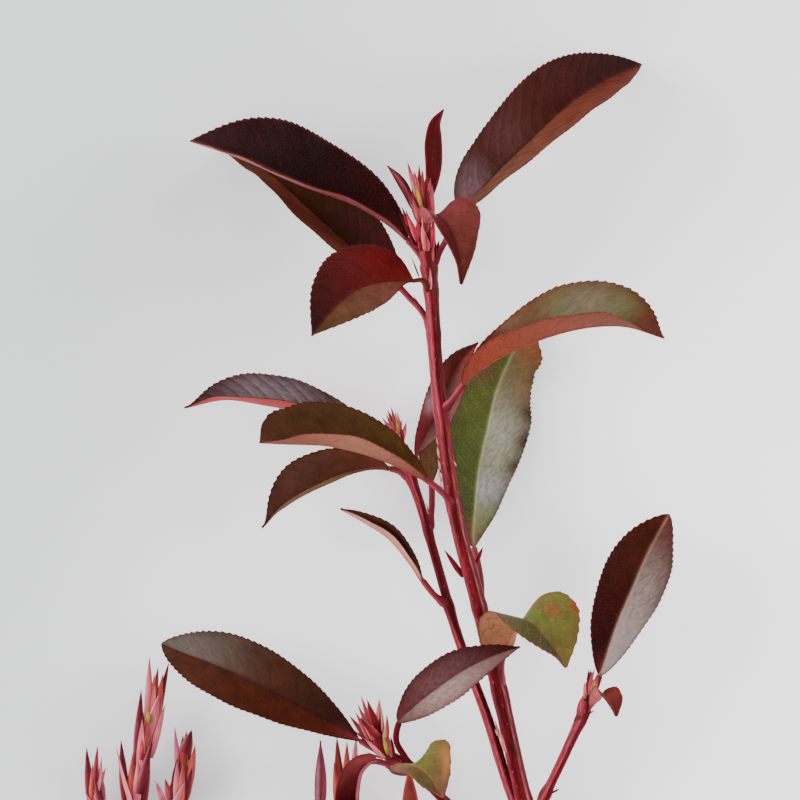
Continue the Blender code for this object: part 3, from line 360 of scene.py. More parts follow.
# Each bud or shoot: the points of its axis, its core's radius at foot and tip, and round the core how
# many bracts, how long, half as wide, how far the lowest and highest lean out in degrees and their
# kinds; then the bracts that face the viewer: foot, tip, half the width and kind
BUDS = {
    "bud_top": {
        "axis": [(16.4, 116.5, 38.25), (15.8, 121, 38.7), (15.2, 126, 39)], "radius": (2.5, 1.2),
        "bracts": 10, "length": (13, 14), "half": 2.0, "lean": (22, 6), "kinds": ("pink", "red", "dark"),
        "front": (
            ((13.6, 129.0, 41.0), (9.9, 141.9, 42.0), 1.1, "pink"),
            ((13.0, 127.5, 41.5), (10.9, 138.6, 42.5), 0.8, "rose"),
            ((14.2, 128.0, 41.0), (14.0, 140.8, 42.0), 1.0, "red"),
            ((14.8, 127.0, 41.8), (12.3, 139.0, 42.8), 0.9, "pink"),
            ((15.4, 128.0, 41.5), (15.2, 139.0, 42.4), 0.8, "brown"),
            ((16.2, 127.5, 41.3), (16.6, 137.6, 42.2), 1.1, "red"),
            ((15.8, 126.5, 42.2), (14.6, 136.5, 43.0), 0.7, "brown"),
            ((17.0, 126.0, 41.8), (17.9, 136.3, 42.6), 0.9, "pink"),
            ((14.9, 125.6, 43.0), (12.5, 134.4, 43.6), 0.75, "yellow"),
            ((16.2, 124.8, 42.6), (16.4, 134.2, 43.2), 1.1, "dark"),
            ((13.5, 122.5, 41.5), (11.5, 132.5, 42.2), 1.1, "red"),
            ((14.3, 121.0, 41.8), (12.0, 129.0, 42.4), 1.0, "pink"),
            ((18.6, 121.5, 42.0), (18.5, 134.2, 42.4), 1.0, "pink"),
            ((17.4, 121.0, 42.2), (17.3, 130.5, 42.8), 0.8, "red"),
            ((15.6, 120.5, 42.0), (15.8, 128.0, 42.6), 1.2, "salmon"),
            ((14.6, 112.5, 41.6), (13.2, 122.5, 42.2), 1.2, "bright"),
            ((15.8, 111.4, 42.2), (15.4, 122.8, 42.6), 1.1, "pale"),
            ((17.3, 111.4, 42.0), (17.0, 122.4, 42.4), 0.9, "dark"),
            ((18.5, 111.8, 41.6), (19.0, 122.5, 42.4), 1.1, "bright"),
            ((16.6, 110.8, 42.6), (16.4, 116.5, 43.0), 1.3, "pink"),
            ((14.9, 110.9, 42.0), (13.9, 116.0, 42.6), 1.0, "red"))},
    "bud_side": {
        "axis": [(17.3, 110, 38), (13.8, 113, 39.5), (12, 117, 40)], "radius": (1.1, 0.8),
        "bracts": 5, "length": (8, 9), "half": 1.4, "lean": (16, 5), "kinds": ("red", "dark"),
        "front": (
            ((12.9, 113.8, 41.0), (8.0, 126.2, 42.0), 1.1, "red"),
            ((12.2, 114.9, 40.6), (7.0, 124.4, 41.6), 0.9, "dark"),
            ((13.3, 114.2, 41.6), (9.3, 125.2, 42.4), 0.9, "pink"),
            ((13.5, 114.3, 42.4), (10.4, 122.8, 43.2), 1.2, "bright"),
            ((12.6, 113.4, 41.9), (9.0, 120.5, 42.5), 0.9, "dark"))},
    "bud_second": {
        "axis": [(6.8, 43.4, 24.05), (6.2, 46, 24.3), (5.6, 48.5, 24.6)], "radius": (1.2, 0.7),
        "bracts": 6, "length": (8, 8.5), "half": 1.7, "lean": (38, 8), "kinds": ("edged", "pink"),
        "front": (
            ((7.3, 45.1, 25.0), (4.2, 56.7, 26.5), 1.0, "pink"),
            ((7.0, 45.1, 25.0), (1.0, 53.0, 26.0), 0.9, "rose"),
            ((7.7, 45.1, 26.0), (6.5, 54.9, 27.0), 0.9, "pale"),
            ((7.0, 46.9, 27.0), (5.8, 53.2, 27.3), 0.5, "yellow"),
            ((8.1, 44.8, 25.5), (9.6, 51.4, 26.5), 0.9, "rose"),
            ((6.6, 45.8, 26.0), (2.4, 54.2, 27.0), 0.8, "pink"),
            ((8.4, 44.1, 26.0), (7.3, 50.7, 26.8), 0.9, "red"))},
    "bud_right": {
        "axis": [(72.7, -46.5, 23.05), (73.2, -44.5, 23.4), (73.6, -42.5, 23.8)], "radius": (1.9, 0.9),
        "bracts": 5, "length": (7, 9), "half": 1.7, "lean": (16, 6), "kinds": ("pink", "red"),
        "front": (
            ((73.4, -43.7, 25.0), (73.5, -35.2, 26.0), 0.7, "red"),
            ((74.0, -44.4, 25.5), (74.7, -35.9, 26.5), 0.8, "pink"),
            ((72.3, -45.8, 25.0), (72.1, -39.8, 26.0), 0.7, "pale"),
            ((75.5, -44.4, 25.0), (76.5, -36.6, 26.0), 0.8, "pink"),
            ((71.6, -50.9, 25.5), (71.3, -44.6, 26.0), 1.0, "bright"),
            ((73.0, -51.0, 26.0), (73.3, -45.0, 26.3), 0.6, "dark"),
            ((74.7, -47.9, 26.0), (75.1, -39.1, 26.5), 0.9, "pale"),
            ((75.4, -42.9, 26.5), (75.6, -38.4, 26.8), 0.6, "yellow"))},
    "bud_left": {
        "axis": [(3.1, -65.2, 24.4), (1.5, -61.5, 25.5), (0, -58, 26.5)], "radius": (1.6, 0.9),
        "bracts": 8, "length": (15, 15), "half": 2.3, "lean": (34, 9), "kinds": ("red", "edged", "pink"),
        "front": (
            ((1.7, -66.6, 25.0), (-10.4, -51.6, 27.5), 1.7, "edged"),
            ((-1.1, -60.8, 27.0), (-6.3, -44.5, 29.0), 1.1, "pink"),
            ((-2.1, -60.0, 28.0), (-7.5, -47.3, 29.5), 1.0, "edged"),
            ((-3.5, -60.0, 27.5), (-8.2, -50.2, 28.5), 0.9, "pink"),
            ((-1.8, -60.0, 28.0), (0.2, -45.2, 29.5), 0.9, "pale"),
            ((-2.1, -59.3, 28.5), (-2.5, -50.1, 29.5), 0.8, "yellow"),
            ((2.1, -64.9, 27.5), (-0.2, -54.3, 29.0), 1.2, "dark"),
            ((1.0, -65.0, 27.0), (-2.8, -55.8, 28.5), 1.4, "red"),
            ((4.7, -66.0, 27.5), (2.1, -55.7, 29.0), 1.0, "edged"),
            ((3.1, -65.3, 28.0), (1.2, -57.4, 29.5), 0.8, "yellow"),
            ((5.1, -66.0, 27.5), (4.2, -58.9, 28.5), 0.8, "dark"),
            ((1.9, -66.4, 27.5), (-5.3, -59.3, 28.0), 0.8, "pale"),
            ((0.3, -66.4, 26.5), (-4.6, -64.3, 27.0), 0.4, "edged"))},
    "shoot_far_left": {
        "axis": [(-94, -97.5, 3.4), (-98, -88, 6), (-99, -78, 8)], "radius": (1.3, 0.7),
        "bracts": 5, "length": (18, 14), "half": 2.4, "lean": (8, 6), "kinds": ("rose", "wine"),
        "front": (
            ((-102.8, -84.1, 6.0), (-103.7, -64.1, 11.0), 1.6, "wine"),
            ((-101.8, -84.1, 6.0), (-99.8, -63.4, 11.0), 1.4, "pink"),
            ((-101.8, -85.1, 6.0), (-96.9, -71.0, 10.0), 1.2, "rose"),
            ((-102.4, -85.1, 7.0), (-101.6, -69.8, 11.5), 1.0, "salmon"),
            ((-101.0, -85.8, 7.0), (-99.3, -74.8, 10.5), 1.0, "rose"))},
    "shoot_left_tall": {
        "axis": [(-86, -99.9, 3.4), (-86.5, -85, 7), (-83.5, -68, 10), (-80.5, -54, 12)], "radius": (1.5, 0.8),
        "bracts": 9, "length": (28, 21), "half": 2.8, "lean": (14, 8), "kinds": ("rose", "wine", "salmon"),
        "front": (
            ((-85.9, -70.6, 10.0), (-84.2, -43.4, 14.0), 1.9, "wine"),
            ((-81.9, -57.0, 12.0), (-81.1, -31.6, 16.0), 1.6, "rose"),
            ((-81.2, -62.0, 11.0), (-74.3, -33.4, 15.0), 1.7, "wine"),
            ((-80.8, -54.8, 13.0), (-78.1, -35.1, 16.0), 1.4, "brown"),
            ((-80.5, -60.5, 12.0), (-76.4, -37.6, 15.5), 1.7, "salmon"),
            ((-83.7, -72.6, 11.0), (-82.0, -51.0, 16.0), 1.6, "salmon"),
            ((-80.9, -67.7, 11.0), (-75.7, -48.3, 15.0), 1.3, "rose"),
            ((-90.3, -84.0, 7.0), (-91.6, -61.4, 10.0), 1.7, "wine"),
            ((-88.8, -84.6, 8.0), (-87.2, -65.5, 11.5), 1.4, "salmon"),
            ((-86.4, -85.7, 8.0), (-85.0, -66.9, 12.5), 1.7, "rose"),
            ((-83.9, -85.8, 7.0), (-81.5, -60.5, 12.0), 1.7, "wine"),
            ((-84.3, -68.2, 13.5), (-83.8, -60.3, 15.0), 1.0, "bright"),
            ((-81.3, -55.3, 15.5), (-81.8, -49.6, 16.3), 0.9, "yellow"))},
    "shoot_left_short": {
        "axis": [(-77, -102, 3.4), (-74.5, -88, 6.5), (-71.5, -76, 8.5), (-69.5, -68, 10)], "radius": (1.5, 0.8),
        "bracts": 7, "length": (18, 14), "half": 2.8, "lean": (18, 9), "kinds": ("wine", "rose", "brown"),
        "front": (
            ((-70.0, -83.9, 8.0), (-72.5, -56.6, 12.0), 1.6, "rose"),
            ((-70.7, -79.9, 9.0), (-68.2, -58.0, 13.0), 1.9, "brown"),
            ((-67.9, -79.9, 9.0), (-65.2, -63.0, 12.0), 1.6, "salmon"),
            ((-69.3, -83.9, 8.0), (-66.3, -71.1, 12.5), 1.7, "wine"),
            ((-74.0, -84.0, 7.0), (-75.9, -75.2, 10.5), 1.4, "pink"),
            ((-76.1, -85.8, 7.0), (-79.1, -76.3, 10.0), 1.4, "rose"),
            ((-70.7, -85.6, 8.5), (-69.4, -69.6, 13.5), 1.4, "salmon"),
            ((-72.1, -84.9, 8.5), (-71.6, -68.9, 13.0), 1.2, "rose"))},
    "shoot_low_pink": {
        "axis": [(-14, -117.2, 4), (-12.5, -103, 6.5), (-11, -81, 10.5)], "radius": (1.5, 0.8),
        "bracts": 5, "length": (27, 24), "half": 2.8, "lean": (6, 4), "kinds": ("rose", "salmon"),
        "front": (
            ((-13.6, -87.1, 8.0), (-15.0, -60.2, 12.0), 1.9, "brown"),
            ((-9.7, -87.1, 8.0), (-8.2, -59.8, 12.0), 1.9, "rose"),
            ((-11.8, -87.0, 9.0), (-11.4, -61.9, 13.0), 1.9, "salmon"),
            ((-14.6, -87.0, 8.5), (-16.0, -69.0, 12.0), 1.4, "salmon"),
            ((-9.0, -88.1, 9.0), (-9.6, -73.5, 13.0), 1.6, "rose"))},
}

# Small buds, stipules and flakes of peeling skin on the stems: foot, tip, half the width and kind
SCALES = {
    "stem": (
        ((44.6, -65.0, 23.0), (40.5, -53.0, 24.5), 0.7, "pale"),
        ((41.8, -43.4, 24.0), (38.6, -32.5, 25.5), 1.4, "salmon"),
        ((29.5, -3.0, 26.0), (22.8, 6.8, 29.5), 1.1, "red"),
        ((34.2, 2.0, 27.0), (36.4, 7.7, 28.5), 0.8, "red"),
        ((15.4, 90.2, 37.0), (11.7, 96.0, 39.0), 0.3, "dark"),
        ((14.0, 102.0, 39.0), (11.2, 109.2, 40.5), 0.3, "dark"),
        ((19.4, 106.5, 38.0), (20.9, 114.8, 39.5), 1.0, "dark"),
        ((18.0, 97.6, 41.0), (17.8, 105.2, 42.0), 0.6, "pale"),
        ((18.9, 107.5, 40.6), (18.6, 114.0, 41.2), 0.5, "salmon"),
        ((19.8, 108.5, 40.0), (19.6, 115.5, 41.0), 0.5, "dark"),
        ((21.7, 33.6, 32.0), (19.0, 40.6, 33.5), 0.3, "red"),
        ((21.1, 43.1, 34.0), (19.9, 46.2, 35.0), 0.4, "flake"),
        ((21.2, 38.9, 34.0), (20.3, 43.1, 35.0), 0.5, "flake"),
        ((21.5, 34.7, 34.0), (20.6, 38.6, 35.0), 0.4, "flake"),
        ((21.8, 30.5, 33.5), (20.8, 34.7, 34.5), 0.5, "flake"),
        ((22.2, 27.7, 33.5), (21.3, 30.9, 34.5), 0.4, "flake"),
        ((41.8, -58.9, 23.5), (40.7, -56.4, 24.5), 0.3, "flake"),
        ((43.2, -61.8, 23.5), (42.1, -58.5, 24.5), 0.4, "flake"),
        ((26.9, 36.1, 33.5), (26.0, 37.9, 34.5), 0.3, "flake")),
    "twigs": (
        ((73.4, -51.1, 24.5), (75.8, -49.8, 26.0), 0.3, "dark"),
        ((60.8, -79.3, 20.3), (63.9, -77.6, 21.0), 0.4, "dark"),
        ((11.2, -69.4, 24.5), (8.9, -63.9, 27.0), 0.3, "dark"),
        ((4.9, -71.0, 24.5), (1.9, -69.7, 25.0), 0.3, "dark"),
        ((17.6, 18.7, 22.0), (16.5, 23.3, 23.5), 0.3, "pink"),
        ((23.4, -14.1, 20.5), (21.6, -8.4, 21.5), 0.3, "red")),
}


def linear(code):
    """The linear colour of an sRGB hex code."""
    parts = [int(code[i:i + 2], 16) / 255 for i in (1, 3, 5)]
    return tuple(p / 12.92 if p <= 0.04045 else ((p + 0.055) / 1.055) ** 2.4 for p in parts)


def linear_all(codes):
    """The linear colours of several codes."""
    return tuple(linear(code) for code in codes)


def between(values, s):
    """The value, or the tuple of values, at share s of the way through evenly spaced ones."""
    place = min(max(s, 0.0), 1.0) * (len(values) - 1)
    i = min(int(place), len(values) - 2)
    share = place - i
    if isinstance(values[0], tuple):
        return tuple(a + (b - a) * share for a, b in zip(values[i], values[i + 1]))
    return values[i] + (values[i + 1] - values[i]) * share


def blend(first, second, share):
    """A colour between two."""
    share = min(max(share, 0.0), 1.0)
    return tuple(a + (b - a) * share for a, b in zip(first, second))


def hump(distance, reach):
    """A smooth hump, 1 at no distance and nearly 0 at twice its reach."""
    return math.exp(-(distance / reach) ** 2)


class Path:
    """One smooth curve through its knots, read by the length along it."""

    def __init__(self, knots, steps=40):
        knots = [Vector(p) for p in knots]
        spans = [(b - a).length for a, b in zip(knots, knots[1:])]
        slopes = [(b - a) / s for a, b, s in zip(knots, knots[1:], spans)]
        tangents = [slopes[0]]
        for before, after, s, t in zip(slopes, slopes[1:], spans, spans[1:]):
            tangents.append((before * t + after * s) / (s + t))
        tangents.append(slopes[-1])
        self.points = [knots[0]]
        for i, span in enumerate(spans):
            near = knots[i] + tangents[i] * span / 3
            far = knots[i + 1] - tangents[i + 1] * span / 3
            self.points.extend(interpolate_bezier(knots[i], near, far, knots[i + 1], steps + 1)[1:])
        self.along = [0.0]
        for a, b in zip(self.points, self.points[1:]):
            self.along.append(self.along[-1] + (b - a).length)
        self.steps = steps
        self.knots = self.along[::steps]
        self.length = self.along[-1]
        self.last = 1

    def point(self, length):
        """The point at a length along the curve."""
        length = min(max(length, 0.0), self.length)
        i = self.last if self.along[self.last - 1] <= length else 1
        while i < len(self.along) - 1 and self.along[i] < length:
            i += 1
        self.last = i
        share = (length - self.along[i - 1]) / (self.along[i] - self.along[i - 1])
        return self.points[i - 1].lerp(self.points[i], share)

    def knot_point(self, place):
        """The point at a place counted in knots, such as 2.5 for half way from the third to the fourth."""
        i = min(int(place * self.steps), len(self.points) - 2)
        return self.points[i].lerp(self.points[i + 1], place * self.steps - i)

    def frame(self, length):
        """The point there, and the directions ahead, to the left and up."""
        ahead = (self.point(length + 1.0) - self.point(length - 1.0)).normalized()
        left = Vector((0, 0, 1)).cross(ahead).normalized()
        return self.point(length), ahead, left, ahead.cross(left)

    def nearest(self, point):
        """The length along the curve that is nearest to a point, and how far away that is."""
        gaps = [(p - point).length for p in self.points]
        i = gaps.index(min(gaps))
        return self.along[i], gaps[i]


class Shell:
    """A closed mesh grown ring by ring, with a colour and two places on each point."""

    def __init__(self):
        self.points, self.tints, self.places, self.veins, self.faces, self.slots = [], [], [], [], [], []
        self.sheens = []

    def grow(self, rings, slot_of=lambda ring, i: 0):
        """Adds one closed form through rings of equally many (point, tint, place, vein place, painted sheen)."""
        first = len(self.points)
        count = len(rings[0])
        for ring in rings:
            for point, tint, place, vein, *sheen in ring:
                self.sheens += sheen
                self.points.append((point + MIDDLE) * MM)
                self.tints.append(tint)
                self.places.append(place)
                self.veins.append(vein)
        for r in range(len(rings) - 1):
            for i in range(count):
                j = (i + 1) % count
                a = first + r * count
                self.faces.append((a + i, a + j, a + count + j, a + count + i))
                self.slots.append(slot_of(r, i))
        for r, turn in ((0, -1), (len(rings) - 1, 1)):
            ring = first + r * count
            self.faces.append(tuple(range(ring, ring + count))[::turn])
            self.slots.append(slot_of(min(r, len(rings) - 2), 0))

    def piece(self, name, materials, sharp=60.0):
        """The mesh object of everything grown so far."""
        data = bpy.data.meshes.new(name)
        data.from_pydata(self.points, [], self.faces)
        tint = data.attributes.new("tint", "FLOAT_COLOR", "POINT")
        tint.data.foreach_set("color", [v for c in self.tints for v in (*c, 1.0)])
        # Leaf tops carry their painted sheen, a colour and its share, as an attribute
        if self.sheens:
            sheen = data.attributes.new("sheen", "FLOAT_COLOR", "POINT")
            sheen.data.foreach_set("color", [v for c in self.sheens for v in c])
        corners = [0] * len(data.loops)
        data.loops.foreach_get("vertex_index", corners)
        for layer, values in (("surface_mm", self.places), ("vein_lines", self.veins)):
            places = data.uv_layers.new(name=layer)
            places.data.foreach_set("uv", [v for c in corners for v in values[c]])
        for material in materials:
            data.materials.append(material)
        data.polygons.foreach_set("material_index", self.slots)
        mesh = bmesh.new()
        mesh.from_mesh(data)
        bmesh.ops.recalc_face_normals(mesh, faces=mesh.faces)
        mesh.to_mesh(data)
        mesh.free()
        data.shade_smooth()
        data.set_sharp_from_angle(angle=math.radians(sharp))
        made = bpy.data.objects.new(name, data)
        bpy.context.scene.collection.objects.link(made)
        return made


def width_share(s, leaf):
    """How wide the blade is at share s of its length, as a share of its greatest width."""
    blunt_base, blunt_tip = leaf["ends"]
    if s < leaf["widest"]:
        return math.sin(math.pi / 2 * s / leaf["widest"]) ** blunt_base
    return max(0.0, math.sin(math.pi / 2 * (1 - s) / (1 - leaf["widest"]))) ** blunt_tip


# No painted sheen, for stalks and undersides
NO_SHEEN = (0.0, 0.0, 0.0, 0.0)
DULL_FROM = 0.9  # a patch centred further out than this takes the painted sheen off its margin


class Blade:
    """A leaf: the curve of its stalk and midrib, how its halves stand on it, and its colours."""

    def __init__(self, leaf, phase):
        self.leaf, self.phase = leaf, phase
        self.path = Path(leaf["stalk"] + leaf["midrib"])
        self.knots = self.path.knots[len(leaf["stalk"]):]
        self.start = self.knots[0]
        self.length = self.path.length - self.start
        self.margins = [Path(margin) for margin in leaf.get("margins", ())]
        self.top = [linear_all(codes) for codes in leaf["top"]]
        self.under = linear_all(leaf["under"])
        self.rib, self.edge = linear(leaf["rib"]), linear(leaf["edge"])
        self.patches = [(*patch[:4], linear(patch[4])) for patch in leaf.get("patches", ())]
        self.painted_sheen_folds = [(*fold[:4], linear(fold[4])) for fold in leaf.get("painted_sheen_folds", ())]
        self.stalk_radius = leaf.get("stalk_radius", min(STALK_RADIUS, leaf.get("half", 6.0) / 3))
        self.stalk_painted_light_shade = linear_all(leaf.get("stalk_painted_light_shade", STALK_PAINTED_LIGHT_SHADE))

    def frame(self, station):
        """The point there, and the directions ahead, to the left and up of the unturned blade."""
        centre, ahead, left, up = self.path.frame(station)
        if self.margins:
            level = self.margins[0].points[0] - Vector(self.leaf["midrib"][0])
            left = (level - ahead * level.dot(ahead)).normalized()
            up = ahead.cross(left)
        return centre, ahead, left, up

    def halves(self, station, frame):
        """For each half, the way from the midrib to its margin and the way its top faces."""
        centre, ahead, left, up = frame
        if self.margins:
            near = max(i for i, length in enumerate(self.knots[:-1]) if length <= station)
            place = near + (station - self.knots[near]) / (self.knots[near + 1] - self.knots[near])
            reaches = [margin.knot_point(place) - centre for margin in self.margins]
            return [(reach, (ahead.cross(reach) * hand).normalized()) for reach, hand in zip(reaches, (1, -1))]
        s = (station - self.start) / self.length
        half = self.leaf["half"] * width_share(s, self.leaf)
        found = []
        for side, level, breadth in zip(("left", "right"), (left, -left), self.leaf.get("breadth", EVEN_HALVES)):
            rise = math.radians(between(self.leaf[side], s))
            reach = (level * math.cos(rise) + up * math.sin(rise)) * max(TIP_HALF, half * between(breadth, s))
            found.append((reach, up * math.cos(rise) - level * math.sin(rise)))
        return found

    def vein_phase(self, side, station, x, half):
        """How many side veins lie between the blade's base and a point, x from the midrib."""
        drift = noise.noise(Vector((x * 0.08, station * 0.07, 3.1 * self.phase + side)))
        forward = station - self.start - VEIN_SLOPE * x - VEIN_BEND * x * x / max(half, 4.0)
        return (forward + 2.2 * drift) / VEIN_STEP + (0.22, -0.22)[side] * min(1.0, x / 1.5)

    def patch_share(self, patch, side, s, out, half):
        """How much of a patch's colour shows at share s along and share out across one half."""
        gap = math.hypot((s - patch[1]) * self.length, (out - patch[2]) * half)
        return hump(gap, patch[3]) if patch[0] == side else 0.0

    def top_colour(self, side, s, out, half):
        """The colour of the top at share s along and share out across one half, whose colours include painted light
        and shade.
        """
        colour = between(self.top[side], s)
        for patch in self.patches:
            colour = blend(colour, patch[4], self.patch_share(patch, side, s, out, half))
        colour = blend(colour, self.rib, 0.85 * hump(out * half, 0.6) * (1 - 0.4 * s))
        return blend(colour, self.edge, 1 - (1 - out) * half / 0.8)

    def sheen(self, side, s, out, half):
        """The painted sheen there: the colour painted on the folds of the top where they would shine, and how much of
        it.
        """
        colour, share = (0.0, 0.0, 0.0), 0.0
        for sheen_side, sheen_s, spread, strength, sheen_colour in self.painted_sheen_folds:
            if sheen_side == side:
                here = strength * hump(s - sheen_s, spread) * (1 - 0.75 * out ** 3)
                colour = blend(colour, sheen_colour, here / max(share, here, 1e-6))
                share = max(share, here)
        for patch in self.patches:
            if patch[2] > DULL_FROM:
                share *= 1 - self.patch_share(patch, side, s, out, half)
        return (*colour, share)

    def under_colour(self, s, out, half):
        """The colour of the underside there."""
        colour = blend(between(self.under, s), self.rib, 0.5 * hump(out * half, RIB_HALF) * (1 - s))
        return blend(colour, self.edge, 1 - (1 - out) * half / 0.6)

    def stalk_ring(self, station):
        """One round section of the stalk: wider at its foot, with a groove along its top."""
        centre, _, left, up = self.frame(station)
        count = 2 * ACROSS + 1
        ring = []
        for i in range(2 * count):
            turn = math.pi * (1 - (i + 0.5) / count)
            groove = hump(turn - math.pi / 2, 0.45)
            radius = self.stalk_radius * (1 - 0.2 * groove * min(1.0, station / 3))
            radius *= 1 + STALK_FLARE * hump(station - 2.6, 2.4)
            radius += 0.06 * noise.noise(Vector((3 * math.cos(turn), 3 * math.sin(turn), station * 0.3 + self.phase)))
            point = centre + (up * math.sin(turn) - left * math.cos(turn)) * radius
            # Painted light: the stalk's left side in its lit colour, its right side in its shaded one, and the groove
            # along its top darker
            colour = blend(self.stalk_painted_light_shade[1], self.stalk_painted_light_shade[0], 0.5 - 0.9 * math.cos(turn))
            colour = blend(colour, self.stalk_painted_light_shade[1], 0.7 * groove)
            ring.append((point, colour, (radius * turn, station - self.start), (0.5, 1.0), NO_SHEEN))
        return ring

    def ring(self, station):
        """One section: its top from the left margin to the right one, and its underside back."""
        if station <= self.start:
            return self.stalk_ring(station)
        frame = centre, ahead, _, _ = self.frame(station)
        halves = self.halves(station, frame)
        s = (station - self.start) / self.length
        merge = max(0.0, 1 - s / STALK_BLEND) ** 2
        middle = (halves[0][1] + halves[1][1]).normalized()
        top, bottom = [], []
        for i in range(-ACROSS, ACROSS + 1):
            share = abs(i) / ACROSS
            out = 0.45 * share + 0.55 * (1 - math.cos(math.pi * share)) / 2
            side = 0 if i < 0 else 1
            reach, facing = halves[side]
            half = reach.length
            x = out * half
            cup = half * math.radians(self.leaf.get("cup", 0)) / 2
            point = centre + reach * out - facing * cup * out * (1 - out)
            normal = facing if i else middle
            phase = self.vein_phase(side, station, x, half)
            gap = abs((phase + 0.5) % 1.0 - 0.5) * 2
            quilt = QUILT * self.leaf.get("quilt", 1.0) * (math.sin(math.pi / 2 * gap) - 0.6)
            quilt *= min(1.0, x / 1.5) * (1 - out ** 6) * min(1.0, half / 6)
            wave = math.sin(2 * math.pi * station / WAVE_LENGTH + self.phase + 1.7 * side)
            wave *= WAVE_HEIGHT * out * out * min(1.0, half / 12)
            point += normal * (quilt + wave - GROOVE * hump(x, 0.5) * (1 - merge))
            if out == 1:
                tooth = (station - self.start) / TOOTH_STEP % 1.0 - 0.6
                tooth *= self.leaf.get("tooth", TOOTH_DEPTH) * min(1.0, half / 5) * min(1.0, 6 * s)
                point += reach.normalized() * tooth + ahead * tooth * 0.6
            thick = BLADE_THICKNESS + (MARGIN_THICKNESS - BLADE_THICKNESS) * out
            thick += (2 * self.stalk_radius - thick) * merge * (1 - out)
            rib = RIB_DEPTH * math.sqrt(max(0.0, 1 - x / RIB_HALF)) * (1 - 0.8 * s) * (1 - merge)
            place = ((x, -x)[1 - side], station - self.start)
            colour = self.top_colour(side, s, out, half)
            low = self.under_colour(s, out, half)
            # Where the stalk flattens into the blade its painted light carries on, the left side lighter
            if merge:
                stalk = blend(self.stalk_painted_light_shade[1], self.stalk_painted_light_shade[0], 0.5 - 0.5 * (1, -1)[1 - side] * out)
                colour = blend(colour, stalk, 0.8 * merge * (1 - out))
                low = blend(low, stalk, 0.8 * merge * (1 - out))
            top.append((point + normal * thick / 2, colour, place, (phase, self.leaf.get("vein_and_painted_panel_shade", 1.0)),
                        self.sheen(side, s, out, half)))
            bottom.append((point - normal * (thick / 2 + rib), low, place, (phase, 1.0), NO_SHEEN))
        return top + bottom[::-1]

    def grow(self, shell):
        """Adds the leaf to a shell, its top in the first material and its underside in the second."""
        steps = max(24, round(self.length / STATION_STEP))
        stations = [self.start * i / 16 for i in range(17)]
        stations += [self.start + self.length * i / steps for i in range(1, steps + 1)]
        count = 2 * ACROSS + 1
        shell.grow([self.ring(station) for station in stations], lambda ring, i: 0 if i < count - 1 else 1)


def grow_bract(shell, foot, tip, out, half, bow, colours):
    """Adds a pointed bract: keeled, hollow on its inner side, and bowed outwards between foot and tip."""
    along = tip - foot
    heading = along.normalized()
    out = (out - heading * out.dot(heading)).normalized()
    side = heading.cross(out)
    rings = []
    for k in range(BRACT_RINGS + 1):
        s = k / BRACT_RINGS
        width = half * max(0.05, math.sin(math.pi * (0.14 + 0.86 * s)) ** 0.75 * (1.15 - 0.5 * s))
        centre = foot + along * s + out * bow * s * (1 - s)
        ring = []
        for turn in range(BRACT_SIDES):
            angle = 2 * math.pi * turn / BRACT_SIDES
            across = math.cos(angle)
            through = math.sin(angle) * BRACT_KEEL * (1 - 0.5 * s) - 0.4 * across * across
            point = centre + (side * across + out * through) * width
            shade = 1 + 0.5 * noise.noise(Vector((across * 1.8 + foot.x, s * 3 + foot.y, half)))
            colour = tuple(part * shade for part in between(colours[:3], s))
            colour = blend(colour, colours[3], abs(across) ** 5 * 0.9)
            ring.append((point, colour, (width * across, s * along.length), (0.5, 1.0)))
        rings.append(ring)
    shell.grow(rings)


def grow_bud(shell, bud, seed):
    """Adds a bud or shoot: its core, bracts that turn round it in a spiral, and those that face up."""
    chance = random.Random(seed)
    path = Path(bud["axis"])
    core = linear_all(("#4a1a1e", "#4e0d15"))
    rings = []
    for k in range(CORE_RINGS + 1):
        s = k / CORE_RINGS
        centre, _, left, up = path.frame(path.length * s)
        radius = bud["radius"][0] + (bud["radius"][1] - bud["radius"][0]) * s
        radius *= math.sqrt(max(0.1, 1 - max(0.0, (s - 0.85) / 0.15) ** 2))
        turns = [2 * math.pi * i / CORE_SIDES for i in range(CORE_SIDES)]
        rings.append([(centre + (left * math.cos(t) + up * math.sin(t)) * radius, blend(*core, s),
                       (radius * t, s * path.length), (0.5, 1.0)) for t in turns])
    shell.grow(rings)
    for i in range(bud["bracts"]):
        share = i / (bud["bracts"] - 1)
        here, ahead, left, up = path.frame(path.length * (0.25 + 0.7 * share))
        turn = GOLDEN_TURN * i
        out = left * math.cos(turn) + up * math.sin(turn)
        lean = math.radians(between(bud["lean"], share))
        length = between(bud["length"], share) * chance.uniform(0.85, 1.0)
        tip = here + (ahead * math.cos(lean) + out * math.sin(lean)) * length
        colours = linear_all(BRACT_KINDS[bud["kinds"][i % len(bud["kinds"])]])
        grow_bract(shell, here, tip, out, bud["half"] * chance.uniform(0.75, 0.95), 0.4 * math.sin(lean) * length, colours)
    for foot, tip, half, kind in bud["front"]:
        foot, tip = Vector(foot), Vector(tip)
        grow_bract(shell, foot, tip, Vector((0, 0, 1)), half, FRONT_BOW * (tip - foot).length, linear_all(BRACT_KINDS[kind]))


def feet_on(path):
    """Where leaf stalks, buds and shoots leave a limb: the length along it and the direction out."""
    found = []
    for stalk in [leaf["stalk"] for leaf in LEAVES.values()] + [bud["axis"] for bud in BUDS.values()]:
        length, gap = path.nearest(Vector(stalk[0]))
        if gap < FOOT_REACH and length < path.length - 0.5:
            found.append((length, Vector(stalk[1]) - path.point(length)))
    return found


